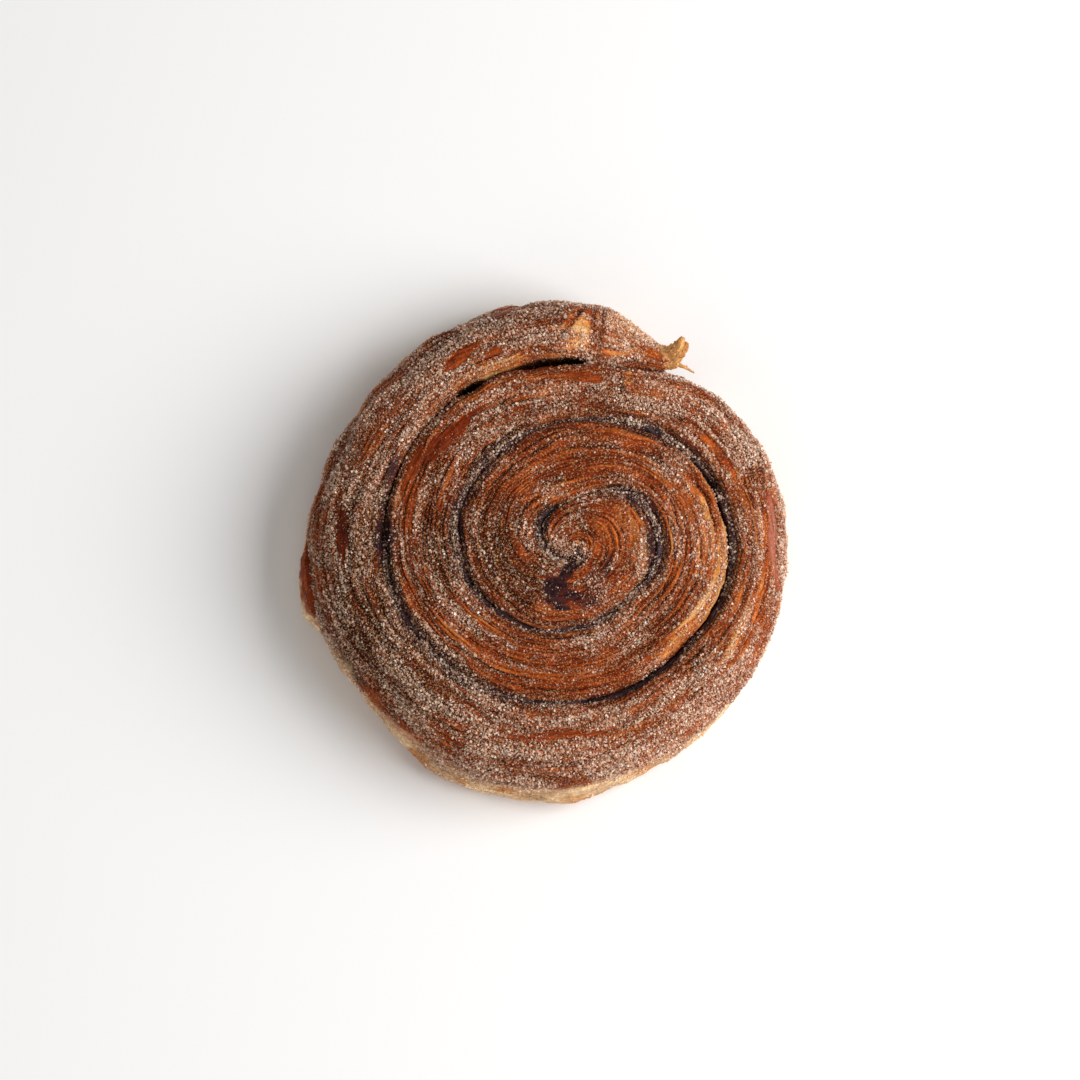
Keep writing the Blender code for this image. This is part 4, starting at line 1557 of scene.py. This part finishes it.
@dataclass(frozen=True)
class LooseLayer:
    """A loose layer of dough that stands out of the last turn's wall, farthest near its broken end.

    It goes from one angle of the coil to another, between a low and a high edge.
    """

    name: str
    start: float
    end: float
    low: float
    high: float
    proud: float
    tone: float
    seed: int
    root: float = 3.0
    behind_rim: float = 0.35
    corner: float = 0.22
    sections: int = 60
    gloss: float = 0.6
    sugared: float = 0.5

    def build(self, shape: RollShape, colours: CrustColours) -> tuple[bpy.types.Mesh, Ground]:
        """Makes the layer's mesh.

        Args:
            shape: The roll's form.
            colours: The crust's colours.

        Returns:
            The mesh and the ground it offers to the sugar.
        """
        noise = Noise(self.seed)
        way = np.linspace(0, 1, self.sections)[:, None]
        angle = blend(self.start, self.end, way)
        wall = shape.rim_radius(angle) - self.behind_rim
        out = self.proud * np.minimum(way / self.corner, ((1 - way) / (1 - self.corner)) ** 0.8)
        rise = (self.high - self.low) * (0.35 + 0.65 * np.sin(np.pi * (0.15 + 0.7 * way)))
        root = 0 * way - self.root
        reach = np.concatenate([root, root, 0.4 * out, out, 0.8 * out], axis=1)
        lift = np.concatenate([0 * way, rise, rise, 0.5 * rise, 0 * way], axis=1)
        turn = np.linspace(0, 5, 36, endpoint=False)
        corner = np.floor(turn).astype(int)
        after, part = (corner + 1) % 5, (turn - corner)[None, :]
        reach = blend(reach[:, corner], reach[:, after], part)
        lift = blend(lift[:, corner], lift[:, after], part)
        shown = smooth_step(reach, -1.0, 0.2)
        bumps = 0.3 * noise.rough(angle / 2.2, lift / 2.5) + 0.16 * noise.at(angle * 2, lift * 2)
        reach = reach + shown * bumps
        lift = lift + shown * 0.3 * noise.at(angle / 1.5, reach, 4.0)
        points = shape.space(angle, wall + reach, self.low + np.maximum(lift, 0))
        tone = self.tone + 0.14 * noise.rough(angle / 2, lift / 1.2, 6.0) + 0 * points[..., 0]
        paler = 0.9 * smooth_step(3.6 * noise.rough(angle / 2.6, lift / 2.4, 3.0) - lift, -8.5, -4)
        tint = blend(colours.at(np.clip(tone, 0, 1)), np.asarray(colours.wall), paler[..., None])
        mesh = tube_mesh(self.name, points)
        put_attribute(mesh, Attribute.TINT, tint.reshape(-1, 3))
        put_attribute(mesh, Attribute.GLOSS, np.full(tone.size, self.gloss))
        layers = np.stack([angle + 0 * lift, lift, 0 * tone], axis=-1)
        put_attribute(mesh, Attribute.LAYERS, layers.reshape(-1, 3))
        sugar = shown * np.clip(0.04 * lift - 0.25 + 0.5 * noise.rough(angle, lift, 9.0), 0, 1) * (turn > 1)
        return mesh, Ground(points, tint, self.sugared * sugar)


class GrainForm(Enum):
    """Forms of a loose grain."""

    BRICK = "brick"
    SPINDLE = "spindle"
    SHARD = "shard"

    def corners(self) -> Array:
        """The form's corners.

        Returns:
            Their places, about one unit across.
        """
        if self is GrainForm.BRICK:
            return np.array([(x, y, z) for z in (-0.5, 0.5) for y in (-0.5, 0.5) for x in (-0.5, 0.5)])
        if self is GrainForm.SPINDLE:
            return np.array([
                (0.5, 0, 0), (0, 0.5, 0), (-0.5, 0, 0), (0, -0.5, 0), (0, 0, 0.55), (0, 0, -0.55)])
        return 0.6 * np.array([(1, 0, -0.7), (-1, 0, -0.7), (0, 1, 0.7), (0, -1, 0.7)])

    def faces(self) -> Array:
        """The form's faces.

        Returns:
            The numbers of each face's corners.
        """
        if self is GrainForm.BRICK:
            return np.array([
                (0, 2, 3, 1), (4, 5, 7, 6), (0, 1, 5, 4), (2, 6, 7, 3), (0, 4, 6, 2), (1, 3, 7, 5)])
        if self is GrainForm.SPINDLE:
            upper = [(k, (k + 1) % 4, 4) for k in range(4)]
            return np.array(upper + [((k + 1) % 4, k, 5) for k in range(4)])
        return np.array([(0, 1, 3), (0, 2, 1), (0, 3, 2), (1, 2, 3)])


@dataclass(frozen=True)
class GrainKind:
    """One kind of loose grain.

    Its sizes are in millimetres, and crust_share says how much of the crust's colour its grains take. The
    higher favours is, the more they gather where sugar lies thick.
    """

    name: str
    form: GrainForm
    count: int
    size: tuple[float, float]
    pale: Colour
    deep: Colour
    crust_share: tuple[float, float]
    seed: int
    favours: float = 1.0
    lift: float = 0.25


@dataclass
class SugarCoat:
    """Grains scattered over the dough, the filling and the torn ends, thicker in some places than others."""

    grounds: list[Ground]
    tinged: float = 0.4
    unevenness: float = 0.045
    heap_height: float = 0.5
    kinds: tuple[GrainKind, ...] = (
        GrainKind("sugar_fine", GrainForm.SHARD, 49000, (0.2, 0.46), from_screen(255, 236, 214),
                  from_screen(214, 160, 122), (0.0, 0.5), 101, 1.3, 0.3),
        GrainKind("sugar_dust", GrainForm.SHARD, 49500, (0.14, 0.3), from_screen(246, 210, 176),
                  from_screen(196, 136, 92), (0.0, 0.5), 105, 0.5, 0.3),
        GrainKind("sugar_coarse", GrainForm.BRICK, 14500, (0.22, 0.5), from_screen(255, 240, 220),
                  from_screen(224, 172, 134), (0.0, 0.45), 102, 2.0, 0.25),
        GrainKind("sugar_cinnamon", GrainForm.SPINDLE, 20000, (0.26, 0.46), from_screen(206, 142, 96),
                  from_screen(136, 72, 38), (0.2, 0.7), 103, 1.0, 0.2),
        GrainKind("cinnamon_specks", GrainForm.SPINDLE, 12000, (0.2, 0.4), from_screen(92, 50, 32),
                  from_screen(40, 24, 20), (0.0, 0.4), 104, 0.9, 0.2))

    def __post_init__(self) -> None:
        """Lists the cells of all the grounds with their corners, directions, tints and sugar."""
        corners, tints, levels = [], [], []
        for ground in self.grounds:
            p, s = ground.points, ground.sugar
            cells = np.stack([p[:-1, :-1], p[1:, :-1], p[:-1, 1:], p[1:, 1:]], axis=2)
            corners.append(cells.reshape(-1, 4, 3))
            tints.append(ground.tint[:-1, :-1].reshape(-1, 3))
            levels.append(0.25 * (s[1:, 1:] + s[:-1, 1:] + s[1:, :-1] + s[:-1, :-1]).ravel())
        self.corners, self.tints = np.concatenate(corners), np.concatenate(tints)
        self.levels = np.concatenate(levels)
        out = np.cross(self.corners[:, 1] - self.corners[:, 0], self.corners[:, 2] - self.corners[:, 0])
        self.areas = np.linalg.norm(out, axis=-1)
        self.out = out / (self.areas[:, None] + 1e-18)

    def scatter(self, kind: GrainKind) -> tuple[Array, Array, Array, Array]:
        """Places for the grains of one kind.

        Args:
            kind: The kind.

        Returns:
            The places in metres, the surface's outward directions, its tints and the sugar's thickness there.
        """
        draw = np.random.default_rng(kind.seed)
        seen = np.clip(self.out[:, 2] * 1.1 + 0.35, 0.2, 1)
        total = np.cumsum(self.areas * self.levels ** kind.favours * seen)
        cell = np.minimum(np.searchsorted(total, draw.random(kind.count) * total[-1]), len(total) - 1)
        a, b = draw.random((2, kind.count, 1))
        p = self.corners[cell]
        near, far = blend(p[:, 0], p[:, 1], a), blend(p[:, 2], p[:, 3], a)
        return blend(near, far, b), self.out[cell], self.tints[cell], self.levels[cell]

    def build(self, kind: GrainKind) -> bpy.types.Mesh:
        """Makes the joined mesh of one kind of grain.

        Args:
            kind: The kind.

        Returns:
            The mesh.
        """
        place, out, crust, level = self.scatter(kind)
        draw = np.random.default_rng(kind.seed + 1000)
        size = blend(*kind.size, draw.random((kind.count, 1)) ** 1.6) * MM
        corners = kind.form.corners()[None] * draw.uniform(0.72, 1.2, (kind.count, 1, 3))
        corners = corners + draw.normal(0, self.unevenness, (kind.count, corners.shape[1], 3))
        spin = draw.normal(size=(kind.count, 4))
        spin /= np.linalg.norm(spin, axis=1, keepdims=True)
        w, x, y, z = spin.T
        turn = np.stack([
            1 - 2 * (y * y + z * z), 2 * (x * y - w * z), 2 * (x * z + w * y),
            2 * (x * y + w * z), 1 - 2 * (x * x + z * z), 2 * (y * z - w * x),
            2 * (x * z - w * y), 2 * (y * z + w * x), 1 - 2 * (x * x + y * y)], axis=-1).reshape(-1, 3, 3)
        heap = (level[:, None] * draw.random((kind.count, 1))) ** 2 * self.heap_height * MM
        middle = place + out * (size * kind.lift * draw.uniform(0.2, 1, (kind.count, 1)) + heap)
        points = middle[:, None] + np.einsum("nij,nkj->nki", turn, corners) * size[:, None]
        points[..., 2] = np.maximum(points[..., 2], 0)
        faces = np.arange(kind.count)[:, None, None] * corners.shape[1] + kind.form.faces()[None]
        mesh = facet_mesh(kind.name, points.reshape(-1, 3), faces.reshape(-1, faces.shape[2]))
        tint = blend(np.asarray(kind.deep), np.asarray(kind.pale), draw.random((kind.count, 1)) ** 1.3)
        share = draw.uniform(*kind.crust_share, (kind.count, 1)) + self.tinged * (1 - level[:, None])
        # Grains take part of the crust's tint under them, with its painted shade and highlight.
        tint = blend(tint, crust * 1.1, np.clip(share, 0, 0.9))
        put_attribute(mesh, Attribute.TINT, np.repeat(tint, corners.shape[1], axis=0))
        return mesh


@dataclass(frozen=True)
class Studio:
    """The pale floor, the soft lights and the camera over the roll."""

    camera_distance: float = 3.0
    picture_width: float = 1080 / 4.4
    heart_right_of_middle: float = 8.18
    heart_below_middle: float = 0.91
    floor_size: float = 4.0
    floor_colour: Colour = (0.93, 0.93, 0.93)
    floor_roughness: float = 0.9
    key_place: tuple[float, float, float] = (0.82, -0.06, 0.74)
    key_size: float = 0.9
    key_energy: float = 15.6
    fill_place: tuple[float, float, float] = (-0.3, -0.8, 0.9)
    fill_size: float = 0.9
    fill_energy: float = 2.4
    fill_colour: Colour = (1.0, 0.93, 0.85)
    sky_strength: float = 0.28

    def floor(self) -> None:
        """Lays the floor."""
        half = self.floor_size / 2
        corners = half * np.array([(-1.0, -1.0, 0.0), (1.0, -1.0, 0.0), (1.0, 1.0, 0.0), (-1.0, 1.0, 0.0)])
        mesh = facet_mesh("floor", corners, np.array([[0, 1, 2, 3]]))
        material = bpy.data.materials.new("pale_floor")
        material.use_nodes = True
        shader = material.node_tree.nodes["Principled BSDF"]
        shader.inputs["Base Color"].default_value = (*self.floor_colour, 1)
        shader.inputs["Roughness"].default_value = self.floor_roughness
        mesh.materials.append(material)
        piece = bpy.data.objects.new("floor", mesh)
        bpy.context.scene.collection.objects.link(piece)

    def light(self, name: str, place: tuple[float, float, float], size: float, energy: float,
              colour: Colour = (1.0, 1.0, 1.0)) -> None:
        """Hangs a square soft light that faces the roll.

        Args:
            name: Name of the light.
            place: Where it hangs, in metres.
            size: Its side in metres.
            energy: Its power in watts.
            colour: Its colour.
        """
        data = bpy.data.lights.new(name, "AREA")
        data.shape = "SQUARE"
        data.size = size
        data.energy = energy
        data.color = colour
        lamp = bpy.data.objects.new(name, data)
        lamp.location = place
        lamp.rotation_euler = Vector(place).to_track_quat("Z", "Y").to_euler()
        bpy.context.scene.collection.objects.link(lamp)

    def camera(self, shape: RollShape) -> None:
        """Sets up the camera at the photograph's viewing angle, with the heart at its place in the picture.

        Args:
            shape: The roll's form.
        """
        tilt = math.radians(VIEW_ELEVATION)
        away = Vector((0, -math.cos(tilt), math.sin(tilt)))
        up = Vector((0, math.sin(tilt), math.cos(tilt)))
        heart = Vector((*shape.heart, shape.crown)) * MM
        middle = heart + (up * self.heart_below_middle - Vector((self.heart_right_of_middle, 0, 0))) * MM
        data = bpy.data.cameras.new("camera")
        data.sensor_width = 36
        data.lens = data.sensor_width * self.camera_distance / (self.picture_width * MM)
        data.clip_start = 0.01
        camera = bpy.data.objects.new("camera", data)
        camera.location = middle + away * self.camera_distance
        camera.rotation_euler = away.to_track_quat("Z", "Y").to_euler()
        bpy.context.scene.collection.objects.link(camera)
        bpy.context.scene.camera = camera

    def sky(self) -> None:
        """Surrounds the roll with an even white glow."""
        world = bpy.data.worlds.new("studio")
        world.use_nodes = True
        glow = world.node_tree.nodes["Background"]
        glow.inputs["Color"].default_value = (1, 1, 1, 1)
        glow.inputs["Strength"].default_value = self.sky_strength
        bpy.context.scene.world = world

    def build(self, shape: RollShape) -> None:
        """Builds the whole studio.

        Args:
            shape: The roll's form.
        """
        self.floor()
        self.light("key_light", self.key_place, self.key_size, self.key_energy)
        self.light("fill_light", self.fill_place, self.fill_size, self.fill_energy, self.fill_colour)
        self.sky()
        self.camera(shape)
        bpy.context.scene.view_settings.view_transform = "Standard"


TORN_TIPS = (
    TornTip("torn_horn",
            ((50.4, 1007, 11.0), (51.2, 1011.5, 12.5), (52.2, 1014.5, 14.5), (54.2, 1015.7, 17.3),
             (56.4, 1015.8, 19.5)),
            ((5.6, 7.0), (5.2, 4.6), (4.4, 2.4), (3.2, 1.3), (0.9, 0.5)), (0.98, 0.84), 201),
    TornTip("torn_horn_point",
            ((51.6, 1012.5, 13.0), (52.8, 1015.4, 15.4), (54.4, 1016.8, 17.4), (55.9, 1017.2, 18.6)),
            ((3.4, 2.0), (3.2, 1.4), (2.4, 0.9), (0.8, 0.4)), (0.86, 0.62), 202),
    TornTip("torn_lobe",
            ((49.8, 1008.0, 8.6), (50.6, 1012.0, 10.4), (51.4, 1015.0, 11.0), (51.6, 1017.2, 11.2)),
            ((4.4, 3.6), (4.2, 2.6), (3.4, 1.8), (1.4, 0.8)), (0.8, 0.86), 203),
    TornTip("torn_sliver",
            ((50.6, 1011, 9.0), (51.8, 1015, 9.6), (52.2, 1018, 9.0), (52.4, 1021.4, 7.9)),
            ((2.2, 2.2), (1.5, 1.4), (0.9, 0.8), (0.3, 0.3)), (0.7, 0.85), 204))
LOOSE_LAYERS = (
    LooseLayer("side_flap", 1244, 1268, 3.0, 15.0, 3.4, 0.5, 211),
    LooseLayer("back_flap", 1341, 1320, 4.0, 13.0, 2.3, 0.5, 212))


def main() -> None:
    """Builds the studio, the dough, the filling, the torn ends and the sugar, in that order."""
    logging.basicConfig(level=logging.INFO, format="%(name)s: %(message)s")
    shape, colours = RollShape(), CrustColours()
    Studio().build(shape)

    crust = CrustFinish().make()
    mesh, dough = DoughCoil(shape, colours).build()
    show(mesh, crust, "pastry_coil")
    grounds = [dough]

    mesh, ground = FillingBand(shape).build()
    show(mesh, FillingFinish().make(), "cinnamon_filling")
    grounds.append(ground)

    for part in (*TORN_TIPS, *LOOSE_LAYERS):
        mesh, ground = part.build(shape, colours)
        show(mesh, crust)
        grounds.append(ground)

    coat = SugarCoat(grounds)
    sugar = SugarFinish().make()
    for kind in coat.kinds:
        show(coat.build(kind), sugar)


if __name__ == "__main__":
    main()
